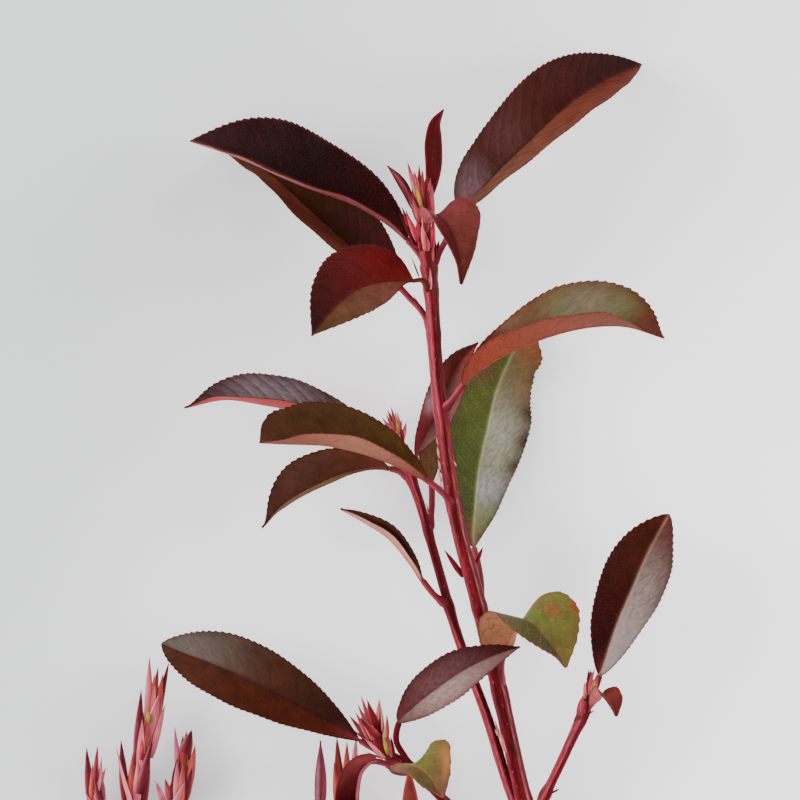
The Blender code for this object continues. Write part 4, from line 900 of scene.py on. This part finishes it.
def limb_colour(limb, share, turn, length):
    """Dark red skin with painted light: pink on its left side as if lit, with a pale painted highlight, a painted
    highlight on a narrow strip on its right, and the underside a little toward the lit pink.
    """
    across = math.cos(turn)
    rough = noise.noise(Vector((across * 2.2, math.sin(turn) * 2.2, length * 0.06)))
    fine = noise.noise(Vector((across * 7, math.sin(turn) * 7, length * 0.18)))
    colour = blend(STEM_DARK, STEM_RED, 0.35 + 0.9 * rough + 0.4 * fine)
    if math.sin(turn) < -0.3:
        return blend(colour, STEM_LIT, 0.15 + 0.3 * fine)
    reach = between(limb["reach"], share) + 0.12 * rough
    lit = min(max((reach - across) / 0.16 + 0.5, 0.0), 1.0)
    glow = 0.85 + 0.15 * hump(across - (reach - 0.35), 0.35)
    colour = blend(colour, STEM_LIT, lit * glow * between(limb["pink"], share) + 0.25 * fine * lit)
    pale = 0.5 * hump(across - (reach - 0.3), 0.13) + 0.3 * max(0.0, -across) ** 2
    colour = blend(colour, STEM_PAINTED_HIGHLIGHT, lit * between(limb["pink"], share) * pale)
    painted_right_highlight = hump(across - 0.5 - 0.1 * rough, 0.09) * between(limb["painted_right_highlight"], share)
    return blend(colour, STEM_PAINTED_RIGHT_HIGHLIGHT, painted_right_highlight * (0.7 + 0.6 * fine))


def grow_limb(shell, limb, cut):
    """Adds a limb: swollen nodes, ridges down from the stalks' feet, uneven bark and closed ends."""
    path = Path(limb["axis"])
    feet = feet_on(path)
    steps = round(path.length / STEM_STEP)
    stations = [(path.length * k / steps, 1.0) for k in range(steps + 1)]
    if cut:
        stations = [(0.0, share) for share in CUT_SHARES] + stations
    tip_shares = [math.sqrt(1 - (k / 5) ** 2) for k in range(1, 5)]
    stations += [(path.length, share) for share in tip_shares]
    rings = []
    for number, (length, cap) in enumerate(stations):
        share = length / path.length
        centre, ahead, left, up = path.frame(length)
        plain = limb["radius"][0] + (limb["radius"][1] - limb["radius"][0]) * share ** 0.8
        past = number - (len(stations) - len(tip_shares)) + 1
        if past > 0:
            centre = centre + ahead * plain * 0.12 * past
        swell = sum(height * hump(length - at, 3.0) for at, height in limb["swellings"])
        swell += sum(NODE_BULGE * hump(length - at, NODE_REACH) for at, _ in feet)
        ring = []
        for i in range(STEM_SIDES):
            turn = 2 * math.pi * i / STEM_SIDES
            out = -left * math.cos(turn) + up * math.sin(turn)
            radius = plain + swell
            for at, way in feet:
                flat = way - ahead * way.dot(ahead)
                down = min(1.0, max(0.0, (length - at + RIDGE_LENGTH) / RIDGE_LENGTH)) * (length < at + 1.5)
                radius += RIDGE_HEIGHT * down * hump(out.angle(flat), 0.4)
            round_about = Vector((math.cos(turn), math.sin(turn), 0))
            radius += 0.12 * noise.noise(round_about * 1.6 + Vector((0, 0, length * 0.05)))
            radius += 0.05 * noise.noise(round_about * 5 + Vector((0, 0, length * 0.4)))
            place = (radius * cap * turn, length) if cap == 1 or past > 0 else (cap, 0.0)
            ring.append((centre + out * radius * cap, limb_colour(limb, share, turn, length), place, (0.5, 1.0)))
        rings.append(ring)
    shell.grow(rings, lambda ring, i: 1 if cut and ring < len(CUT_SHARES) else 0)


TIP_HALF = 0.3
EVEN_HALVES = ((1, 1), (1, 1))
BRACT_RINGS = 10
BRACT_SIDES = 12
BRACT_KEEL = 0.42
FRONT_BOW = 0.06  # of a bract's length
CORE_RINGS = 12
CORE_SIDES = 16
FOOT_REACH = 3.2
CUT_SHARES = (0.05, 0.2, 0.4, 0.6, 0.78, 0.9, 0.97)
# A stalk's colours: lit on its left side as painted light, shaded on its right as painted shade
STALK_PAINTED_LIGHT_SHADE = ("#8e3540", "#521820")
# Bark: dark and red at random, the lit pink and its pale highlight painted light on a limb's left side, and a painted
# highlight on a narrow strip on its right
STEM_DARK = linear("#380608")
STEM_RED = linear("#620e18")
STEM_LIT = linear("#7a2430")
STEM_PAINTED_HIGHLIGHT = linear("#b4525e")
STEM_PAINTED_RIGHT_HIGHLIGHT = linear("#9a5a60")


def add(tree, kind, inputs=None, **settings):
    """Adds a node with its settings, values and links, and gives back its first output in use."""
    made = tree.nodes.new(kind)
    for name, value in settings.items():
        setattr(made, name, value)
    for name, value in (inputs or {}).items():
        if isinstance(value, bpy.types.NodeSocket):
            tree.links.new(value, made.inputs[name])
        else:
            made.inputs[name].default_value = value
    return next((output for output in made.outputs if output.enabled), None)


def plant_material(name):
    """A new material with its tree, its shader and its place in millimetres on the surface."""
    made = bpy.data.materials.new(name)
    made.use_nodes = True
    tree = made.node_tree
    return made, tree, tree.nodes["Principled BSDF"], add(tree, "ShaderNodeUVMap", uv_map="surface_mm")


PANEL_SHADE = 0.4  # painted shade: how much darker the skin is just past a side vein, for each step of the vein strength above 1


def leaf_surface(name, looks):
    """A leaf's skin: side veins, a net of small veins, mottling and fine pale specks, with painted shade across each
    panel between side veins and a painted sheen in a crinkled pattern where the leaf gives one.
    """
    made, tree, shader, place = plant_material(name)
    tint = add(tree, "ShaderNodeAttribute", attribute_name="tint")
    lines = add(tree, "ShaderNodeUVMap", uv_map="vein_lines")
    phase = add(tree, "ShaderNodeSeparateXYZ", {0: lines})
    apart = add(tree, "ShaderNodeMath", {0: phase, 1: 0.5}, operation="PINGPONG")
    side_veins = add(tree, "ShaderNodeMapRange", {"Value": apart, "From Min": 0.0, "From Max": looks["vein_half"] / VEIN_STEP,
                                                  "To Min": 1.0, "To Max": 0.0}, interpolation_type="SMOOTHSTEP")
    warp = add(tree, "ShaderNodeTexNoise", {"Vector": place, "Scale": 0.5, "Detail": 2.0})
    bent = add(tree, "ShaderNodeVectorMath", {0: warp, 1: (1.2, 1.2, 0.0), 2: place}, operation="MULTIPLY_ADD")
    wide = add(tree, "ShaderNodeTexVoronoi", {"Vector": bent, "Scale": 1 / looks["net_size"], "Randomness": 1.0},
               feature="DISTANCE_TO_EDGE")
    wide_net = add(tree, "ShaderNodeMapRange", {"Value": wide, "From Min": 0.0, "From Max": looks["net_half"] / looks["net_size"],
                                                "To Min": 1.0, "To Max": 0.0})
    close = add(tree, "ShaderNodeTexVoronoi", {"Vector": bent, "Scale": 3 / looks["net_size"], "Randomness": 1.0},
                feature="DISTANCE_TO_EDGE")
    close_net = add(tree, "ShaderNodeMapRange", {"Value": close, "From Min": 0.0, "From Max": 0.12, "To Min": 1.0, "To Max": 0.0})
    net = add(tree, "ShaderNodeMath", {0: close_net, 1: looks["close_share"], 2: wide_net}, operation="MULTIPLY_ADD")
    grain = add(tree, "ShaderNodeTexNoise", {"Vector": place, "Scale": 2.2, "Detail": 3.0, "Roughness": 0.6})
    specks = add(tree, "ShaderNodeMapRange", {"Value": grain, "From Min": 0.53, "From Max": 0.64, "To Min": 0.0,
                                              "To Max": looks["speck_share"]})
    mottle = add(tree, "ShaderNodeTexNoise", {"Vector": place, "Scale": 0.16, "Detail": 5.0, "Roughness": 0.6})
    light = add(tree, "ShaderNodeMapRange", {"Value": mottle, "From Min": 0.3, "From Max": 0.7, "To Min": 1 - looks["mottle"],
                                             "To Max": 1 + looks["mottle"]})
    # Painted shade across each panel between side veins: darkest just past a vein and lighter toward the next, as if
    # lit from one side; the same number strengthens the side veins
    vein_and_painted_panel_shade = phase.node.outputs["Y"]
    panel = add(tree, "ShaderNodeMath", {0: phase}, operation="FRACT")
    foot = add(tree, "ShaderNodeMath", {0: vein_and_painted_panel_shade, 1: -PANEL_SHADE, 2: 1 + PANEL_SHADE}, operation="MULTIPLY_ADD")
    painted_panel_shade = add(tree, "ShaderNodeMapRange", {"Value": panel, "From Min": 0.0, "From Max": 1.0, "To Min": foot, "To Max": 1.0})
    light = add(tree, "ShaderNodeMath", {0: light, 1: painted_panel_shade}, operation="MULTIPLY")
    base = add(tree, "ShaderNodeVectorMath", {0: tint, "Scale": light}, operation="SCALE")
    fade = add(tree, "ShaderNodeMapRange", {"Value": mottle, "From Min": 0.4, "From Max": 0.6, "To Min": 0.3, "To Max": 1.3})
    strong = add(tree, "ShaderNodeMath", {0: side_veins, 1: vein_and_painted_panel_shade}, operation="MULTIPLY")
    strong = add(tree, "ShaderNodeMath", {0: strong, 1: fade}, operation="MULTIPLY")
    vein_share = add(tree, "ShaderNodeMath", {0: strong, 1: looks["vein_share"]}, operation="MULTIPLY", use_clamp=True)
    veined = add(tree, "ShaderNodeMix", {0: vein_share, 6: base, 7: (*linear(looks["vein"]), 1.0)}, data_type="RGBA")
    broken = add(tree, "ShaderNodeMapRange", {"Value": mottle, "From Min": 0.42, "From Max": 0.58, "To Min": 0.1,
                                              "To Max": looks["net_share"]})
    net_share = add(tree, "ShaderNodeMath", {0: net, 1: broken}, operation="MULTIPLY")
    netted = add(tree, "ShaderNodeMix", {0: net_share, 6: veined, 7: (*linear(looks["net"]), 1.0)}, data_type="RGBA")
    # Painted sheen: the sheen attribute's colour is mixed into the base colour in a crinkled pattern, stronger toward
    # the next side vein, standing in for reflections on the folds
    sheen = add(tree, "ShaderNodeAttribute", attribute_name="sheen")
    across = add(tree, "ShaderNodeSeparateXYZ", {0: place})
    along_veins = add(tree, "ShaderNodeMath", {0: phase, 1: looks["sheen_pattern_apart"]}, operation="MULTIPLY")
    down_veins = add(tree, "ShaderNodeMath", {0: across, 1: looks["sheen_pattern_along"]}, operation="MULTIPLY")
    spot = add(tree, "ShaderNodeCombineXYZ", {0: along_veins, 1: down_veins})
    painted_sheen_pattern = add(tree, "ShaderNodeTexNoise", {"Vector": spot, "Scale": 1.0, "Detail": 4.0, "Roughness": 0.6,
                                               "Distortion": 0.3})
    crisp = add(tree, "ShaderNodeMapRange", {"Value": painted_sheen_pattern, "From Min": 0.3, "From Max": 0.7, "To Min": 0.5,
                                             "To Max": 1.15})
    crisp = add(tree, "ShaderNodeMath", {0: crisp, 1: painted_panel_shade}, operation="MULTIPLY")
    shine = add(tree, "ShaderNodeMath", {0: sheen.node.outputs["Alpha"], 1: crisp}, operation="MULTIPLY", use_clamp=True)
    netted = add(tree, "ShaderNodeMix", {0: shine, 6: netted, 7: sheen}, data_type="RGBA")
    speckled = add(tree, "ShaderNodeMix", {0: specks, 6: netted, 7: (*linear(looks["speck"]), 1.0)}, data_type="RGBA")
    tree.links.new(speckled, shader.inputs["Base Color"])
    relief = add(tree, "ShaderNodeMath", {0: side_veins, 1: looks["vein_rise"], 2: grain}, operation="MULTIPLY_ADD")
    relief = add(tree, "ShaderNodeMath", {0: net, 1: looks["net_rise"], 2: relief}, operation="MULTIPLY_ADD")
    bump = add(tree, "ShaderNodeBump", {"Strength": 1.0, "Distance": looks["relief"] * MM, "Height": relief})
    tree.links.new(bump, shader.inputs["Normal"])
    gloss = add(tree, "ShaderNodeMapRange", {"Value": grain, "From Min": 0.3, "From Max": 0.7, "To Min": looks["roughness"] - 0.06,
                                             "To Max": looks["roughness"] + 0.1})
    tree.links.new(gloss, shader.inputs["Roughness"])
    shader.inputs["Specular IOR Level"].default_value = looks["specular"]
    return made


def skin_surface(name, looks):
    """Young bark or a bud scale: fine streaks along it, and pale flecks where the skin has split."""
    made, tree, shader, place = plant_material(name)
    tint = add(tree, "ShaderNodeAttribute", attribute_name="tint")
    stretched = add(tree, "ShaderNodeMapping", {"Vector": place, "Scale": (1.0, 0.1, 1.0)})
    streaks = add(tree, "ShaderNodeTexNoise", {"Vector": stretched, "Scale": looks["grain"], "Detail": 4.0, "Roughness": 0.65})
    light = add(tree, "ShaderNodeMapRange", {"Value": streaks, "From Min": 0.3, "From Max": 0.7, "To Min": 1 - looks["streak"],
                                             "To Max": 1 + looks["streak"]})
    base = add(tree, "ShaderNodeVectorMath", {0: tint, "Scale": light}, operation="SCALE")
    patches = add(tree, "ShaderNodeMapping", {"Vector": place, "Scale": (1.0, 0.4, 1.0)})
    splits = add(tree, "ShaderNodeTexNoise", {"Vector": patches, "Scale": 1.1, "Detail": 3.0})
    pale = add(tree, "ShaderNodeMapRange", {"Value": splits, "From Min": 0.64, "From Max": 0.72, "To Min": 0.0,
                                            "To Max": looks["fleck_share"]})
    flecked = add(tree, "ShaderNodeMix", {0: pale, 6: base, 7: (*linear(looks["fleck"]), 1.0)}, data_type="RGBA")
    tree.links.new(flecked, shader.inputs["Base Color"])
    bump = add(tree, "ShaderNodeBump", {"Strength": 1.0, "Distance": looks["relief"] * MM, "Height": streaks})
    tree.links.new(bump, shader.inputs["Normal"])
    shader.inputs["Roughness"].default_value = looks["roughness"]
    shader.inputs["Specular IOR Level"].default_value = looks["specular"]
    return made


def cut_surface(name):
    """The cut across the stem: a thin red skin, a pale green rim, cream wood in rings and a brown pith."""
    made, tree, shader, place = plant_material(name)
    way = add(tree, "ShaderNodeSeparateXYZ", {0: place})
    grain = add(tree, "ShaderNodeTexNoise", {"Vector": place, "Scale": 9.0, "Detail": 3.0})
    share = add(tree, "ShaderNodeMath", {0: grain, 1: 0.05, 2: way}, operation="MULTIPLY_ADD")
    ramp = tree.nodes.new("ShaderNodeValToRGB")
    for stop, code in ((0.14, "#a08458"), (0.2, "#c9b48a"), (0.78, "#d8c8a0"), (0.86, "#9aa065"), (0.97, "#5a2024")):
        ramp.color_ramp.elements.new(stop).color = (*linear(code), 1.0)
    tree.links.new(share, ramp.inputs[0])
    tree.links.new(ramp.outputs["Color"], shader.inputs["Base Color"])
    bump = add(tree, "ShaderNodeBump", {"Strength": 1.0, "Distance": 0.1 * MM, "Height": grain})
    tree.links.new(bump, shader.inputs["Normal"])
    shader.inputs["Roughness"].default_value = 0.75
    return made


# Waxy upper skin of a full-grown leaf: dark and glossy, with sunken side veins and fine pale specks; most of its sheen
# is painted into its colour rather than reflected.
# The specks are drawn twice as coarse as they are, so that they show.
WAXY_TOP = leaf_surface("waxy_red_leaf_top", {
    "vein": "#160306", "vein_share": 0.3, "vein_half": 0.3, "vein_rise": -1.0,
    "net": "#160306", "net_share": 0.12, "net_size": 2.4, "net_half": 0.16, "net_rise": -0.3, "close_share": 0.3,
    "speck": "#5c403a", "sheen_pattern_apart": 3.0, "sheen_pattern_along": 0.7, "speck_share": 0.16, "mottle": 0.3, "roughness": 0.4, "specular": 0.02, "relief": 0.06})
# The same skin where it has turned green: its side veins are paler than the rest
WAXY_GREEN = leaf_surface("waxy_green_leaf_top", {
    "vein": "#7c8448", "vein_share": 0.13, "vein_half": 0.3, "vein_rise": -1.0,
    "net": "#6c3a20", "net_share": 0.1, "net_size": 2.4, "net_half": 0.16, "net_rise": -0.3, "close_share": 0.3,
    "speck": "#7a7a48", "sheen_pattern_apart": 3.0, "sheen_pattern_along": 0.7, "speck_share": 0.25, "mottle": 0.3, "roughness": 0.4, "specular": 0.06, "relief": 0.06})
# Underside of a leaf: dull, salmon pink, with a raised net of thin dark red veins
DULL_UNDERSIDE = leaf_surface("dull_leaf_underside", {
    "vein": "#5a1410", "vein_share": 0.4, "vein_half": 0.25, "vein_rise": 0.8,
    "net": "#4a0e0c", "net_share": 0.55, "net_size": 4.5, "net_half": 0.25, "net_rise": 0.6, "close_share": 0.3,
    "speck": "#b07a68", "sheen_pattern_apart": 3.0, "sheen_pattern_along": 0.7, "speck_share": 0.15, "mottle": 0.16, "roughness": 0.6, "specular": 0.08, "relief": 0.06})
# Young bark: smooth and dark red, with fine streaks along it and a few pale flecks
YOUNG_BARK = skin_surface("young_red_bark", {
    "grain": 2.0, "streak": 0.55, "fleck": "#b08478", "fleck_share": 0.25, "relief": 0.08, "roughness": 0.38,
    "specular": 0.05})
# Bud scales and the youngest leaves: thin, faintly ribbed skin with a dull gloss
BUD_SCALE = skin_surface("bud_scale_skin", {
    "grain": 2.6, "streak": 0.35, "fleck": "#c08070", "fleck_share": 0.15, "relief": 0.06, "roughness": 0.5,
    "specular": 0.04})
# Cork of a lenticel: dull and pale
CORK = skin_surface("lenticel_cork", {
    "grain": 3.0, "streak": 0.2, "fleck": "#b08478", "fleck_share": 0.0, "relief": 0.05, "roughness": 0.8,
    "specular": 0.2})
# Fresh cut through a young stem: pale moist wood under a thin skin
CUT_WOOD = cut_surface("fresh_cut_wood")


def lenticel_tree():
    """A tree that strews small corky ellipsoids over a stem's skin and leaves out the stem."""
    tree = bpy.data.node_groups.new("lenticels_on_bark", "GeometryNodeTree")
    tree.interface.new_socket("Bark", in_out="INPUT", socket_type="NodeSocketGeometry")
    for name in ("Density", "Width", "Height"):
        tree.interface.new_socket(name, in_out="INPUT", socket_type="NodeSocketFloat")
    tree.interface.new_socket("Seed", in_out="INPUT", socket_type="NodeSocketInt")
    tree.interface.new_socket("Lenticels", in_out="OUTPUT", socket_type="NodeSocketGeometry")
    given = tree.nodes.new("NodeGroupInput")
    points = tree.nodes.new("GeometryNodeDistributePointsOnFaces")
    for name in ("Density", "Seed"):
        tree.links.new(given.outputs[name], points.inputs[name])
    tree.links.new(given.outputs["Bark"], points.inputs["Mesh"])
    ball = add(tree, "GeometryNodeMeshIcoSphere", {"Radius": 0.5, "Subdivisions": 2})
    size = add(tree, "ShaderNodeCombineXYZ", {"X": given.outputs["Width"], "Y": given.outputs["Width"],
                                              "Z": given.outputs["Height"]})
    spots = add(tree, "GeometryNodeInstanceOnPoints", {"Points": points.outputs["Points"], "Instance": ball, "Scale": size,
                                                       "Rotation": points.outputs["Rotation"]})
    real = add(tree, "GeometryNodeRealizeInstances", {"Geometry": spots})
    smooth = add(tree, "GeometryNodeSetShadeSmooth", {"Geometry": real})
    corky = add(tree, "GeometryNodeSetMaterial", {"Geometry": smooth, "Material": CORK})
    add(tree, "NodeGroupOutput", {"Lenticels": corky})
    return tree


def lenticels(bark, seed):
    """The lenticels of one stem, as a plain mesh."""
    carrier = bark.copy()
    bpy.context.scene.collection.objects.link(carrier)
    strew = carrier.modifiers.new("lenticels", "NODES")
    strew.node_group = LENTICEL_TREE
    values = {"Density": 1800.0, "Width": 0.0005, "Height": 0.0002, "Seed": seed}
    for item in LENTICEL_TREE.interface.items_tree:
        if item.in_out == "INPUT" and item.name in values:
            strew[item.identifier] = values[item.name]
    bpy.context.view_layer.update()
    data = bpy.data.meshes.new_from_object(carrier.evaluated_get(bpy.context.evaluated_depsgraph_get()))
    bpy.data.objects.remove(carrier)
    tint = data.attributes.get("tint") or data.attributes.new("tint", "FLOAT_COLOR", "POINT")
    tint.data.foreach_set("color", [v for _ in data.vertices for v in (*linear("#8a4a48"), 1.0)])
    made = bpy.data.objects.new(bark.name.replace("bark", "lenticels"), data)
    bpy.context.scene.collection.objects.link(made)
    return made


LENTICEL_TREE = lenticel_tree()
CORKY_LIMBS = ("main_stem", "second_stem", "low_bough")  # the two short twigs are too young for lenticels


def dress(piece, node):
    """Lets a finished piece stand for a node of the model."""
    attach(piece, "root")
    if node:
        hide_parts(node)


def spoken(node):
    """The name of a piece that stands for a node: its kind comes last."""
    kind, _, rest = node.partition("_")
    return f"{rest}_{kind}"


def leaves():
    """Every leaf, its top and underside in their own skins."""
    for i, (node, leaf) in enumerate(LEAVES.items()):
        shell = Shell()
        Blade(leaf, 1.3 * i).grow(shell)
        green = "green" in node
        piece = shell.piece(spoken(node), (WAXY_GREEN if green else WAXY_TOP, DULL_UNDERSIDE))
        dress(piece, node)


def stems():
    """Every limb with its bark and lenticels, and the cut at the foot of the main stem."""
    for i, (node, limb) in enumerate(LIMBS.items()):
        shell = Shell()
        cut = node == "main_stem"
        grow_limb(shell, limb, cut)
        bark = shell.piece(node + "_bark", (YOUNG_BARK, CUT_WOOD) if cut else (YOUNG_BARK,))
        dress(bark, node)
        if node in CORKY_LIMBS:
            dress(lenticels(bark, i + 3), None)


def buds():
    """Every bud and young shoot, the top bud with its two young leaves."""
    for i, (node, bud) in enumerate(BUDS.items()):
        shell = Shell()
        grow_bud(shell, bud, i + 11)
        dress(shell.piece(spoken(node), (BUD_SCALE,), 80.0), node)
    for i, (name, leaf) in enumerate(YOUNG_LEAVES.items()):
        shell = Shell()
        Blade(leaf, 0.7 * i).grow(shell)
        dress(shell.piece(name + "_leaf", (BUD_SCALE, BUD_SCALE)), None)


def scales():
    """The small buds, stipules and flakes of skin on the stems."""
    for name, group in SCALES.items():
        shell = Shell()
        for foot, tip, half, kind in group:
            foot, tip = Vector(foot), Vector(tip)
            grow_bract(shell, foot, tip, Vector((0, 0, 1)), half, 0.4 * half, linear_all(BRACT_KINDS[kind]))
        dress(shell.piece(name + "_stipules", (BUD_SCALE,), 80.0), None)


def pale_paper():
    """Matt paper of the backdrop with a faint fibre grain, and painted light: a little greyer towards the upper left
    as painted shade, and painted lighter round the plant to lift its shadow.
    """
    made = bpy.data.materials.new("pale_matt_paper")
    made.use_nodes = True
    tree = made.node_tree
    way = tree.nodes.new("ShaderNodeTexCoord").outputs["Object"]
    toward = tree.nodes.new("ShaderNodeVectorMath")
    toward.operation = "DOT_PRODUCT"
    tree.links.new(way, toward.inputs[0])
    toward.inputs[1].default_value = (0.85, -0.5, 0.0)
    across = add(tree, "ShaderNodeMapRange", {"Value": toward.outputs["Value"], "From Min": -PAPER_REACH,
                                              "From Max": PAPER_REACH}, interpolation_type="SMOOTHSTEP")
    shade = add(tree, "ShaderNodeMix", {0: across, 6: (*linear(PAPER_GREY), 1.0), 7: (*linear(PAPER_WHITE), 1.0)},
                data_type="RGBA")
    gap = tree.nodes.new("ShaderNodeVectorMath")
    gap.operation = "DISTANCE"
    tree.links.new(way, gap.inputs[0])
    gap.inputs[1].default_value = (0.07, 0.0, 0.0)
    painted_light_round_plant = add(tree, "ShaderNodeMapRange", {"Value": gap.outputs["Value"], "From Min": 0.05, "From Max": PAPER_REACH,
                                                   "To Min": 0.9, "To Max": 0.0}, interpolation_type="SMOOTHSTEP")
    shade = add(tree, "ShaderNodeMix", {0: painted_light_round_plant, 6: shade, 7: (*linear(PAPER_PAINTED_LIGHT), 1.0)}, data_type="RGBA")
    fibres = add(tree, "ShaderNodeTexNoise", {"Vector": way, "Scale": 900.0, "Detail": 4.0, "Roughness": 0.6})
    light = add(tree, "ShaderNodeMapRange", {"Value": fibres, "To Min": 0.985, "To Max": 1.015})
    grained = add(tree, "ShaderNodeVectorMath", {0: shade, "Scale": light}, operation="SCALE")
    shader = tree.nodes["Principled BSDF"]
    tree.links.new(grained, shader.inputs["Base Color"])
    shader.inputs["Roughness"].default_value = 0.9
    shader.inputs["Specular IOR Level"].default_value = 0.1
    return made


def studio():
    """A plain pale floor under plain soft light that comes mostly from the left."""
    mesh = bpy.data.meshes.new("floor")
    mesh.from_pydata([(-3, -3, 0), (3, -3, 0), (3, 3, 0), (-3, 3, 0)], [], [(0, 1, 2, 3)])
    floor = bpy.data.objects.new("floor", mesh)
    bpy.context.scene.collection.objects.link(floor)
    mesh.materials.append(pale_paper())
    world = bpy.data.worlds.new("soft_sky")
    world.use_nodes = True
    tree = world.node_tree
    sky = tree.nodes["Background"]
    sky.inputs["Color"].default_value = (0.97, 0.98, 1.0, 1.0)
    way = tree.nodes.new("ShaderNodeTexCoord").outputs["Generated"]
    toward = tree.nodes.new("ShaderNodeVectorMath")
    toward.operation = "DOT_PRODUCT"
    tree.links.new(way, toward.inputs[0])
    toward.inputs[1].default_value = GLOW_FROM.normalized()
    glow = add(tree, "ShaderNodeMapRange", {"Value": toward.outputs["Value"], "From Min": 0.6, "From Max": 1.0,
                                            "To Min": GLOW_BASE, "To Max": GLOW_PEAK}, interpolation_type="SMOOTHSTEP")
    tree.links.new(glow, sky.inputs["Strength"])
    bpy.context.scene.world = world
    for name, place, size, power in LIGHTS:
        lamp = bpy.data.lights.new(name, "AREA")
        lamp.size = size
        lamp.energy = power
        made = bpy.data.objects.new(name, lamp)
        made.location = place
        made.rotation_euler = (Vector((0, 0.05, 0)) - Vector(place)).to_track_quat("-Z", "Y").to_euler()
        bpy.context.scene.collection.objects.link(made)


# The backdrop: its colour at the upper left, greyer as painted shade, and at the lower right, the painted light round
# the plant, and how many metres lie half way
PAPER_GREY = "#c2c3c4"
PAPER_WHITE = "#f8f8f8"
PAPER_PAINTED_LIGHT = "#ffffff"
PAPER_REACH = 0.2

# The soft glow of the surroundings: where it is brightest, and how bright it is elsewhere and there
GLOW_FROM = Vector((-0.8, 0.25, 0.35))
GLOW_BASE = 1.3
GLOW_PEAK = 4.0

# Each light: its name, place in metres, width and power
LIGHTS = (
    ("window_left", (-1.35, 0.55, 0.75), 0.9, 30.0),
    ("fill_right", (1.3, 0.35, 0.7), 0.9, 28.0),
    ("far_rim", (0.1, 1.6, 0.6), 0.8, 10.0),
)


def camera():
    """A long lens straight above the upper part of the branch, as in the photograph."""
    lens = bpy.data.cameras.new("camera")
    lens.lens = 200
    lens.sensor_width = 36
    lens.clip_end = 20
    made = bpy.data.objects.new("camera", lens)
    made.location = (Vector((7.35, 59.15, 1586)) + MIDDLE) * MM
    bpy.context.scene.collection.objects.link(made)
    bpy.context.scene.camera = made


leaves()
stems()
buds()
scales()
studio()
camera()
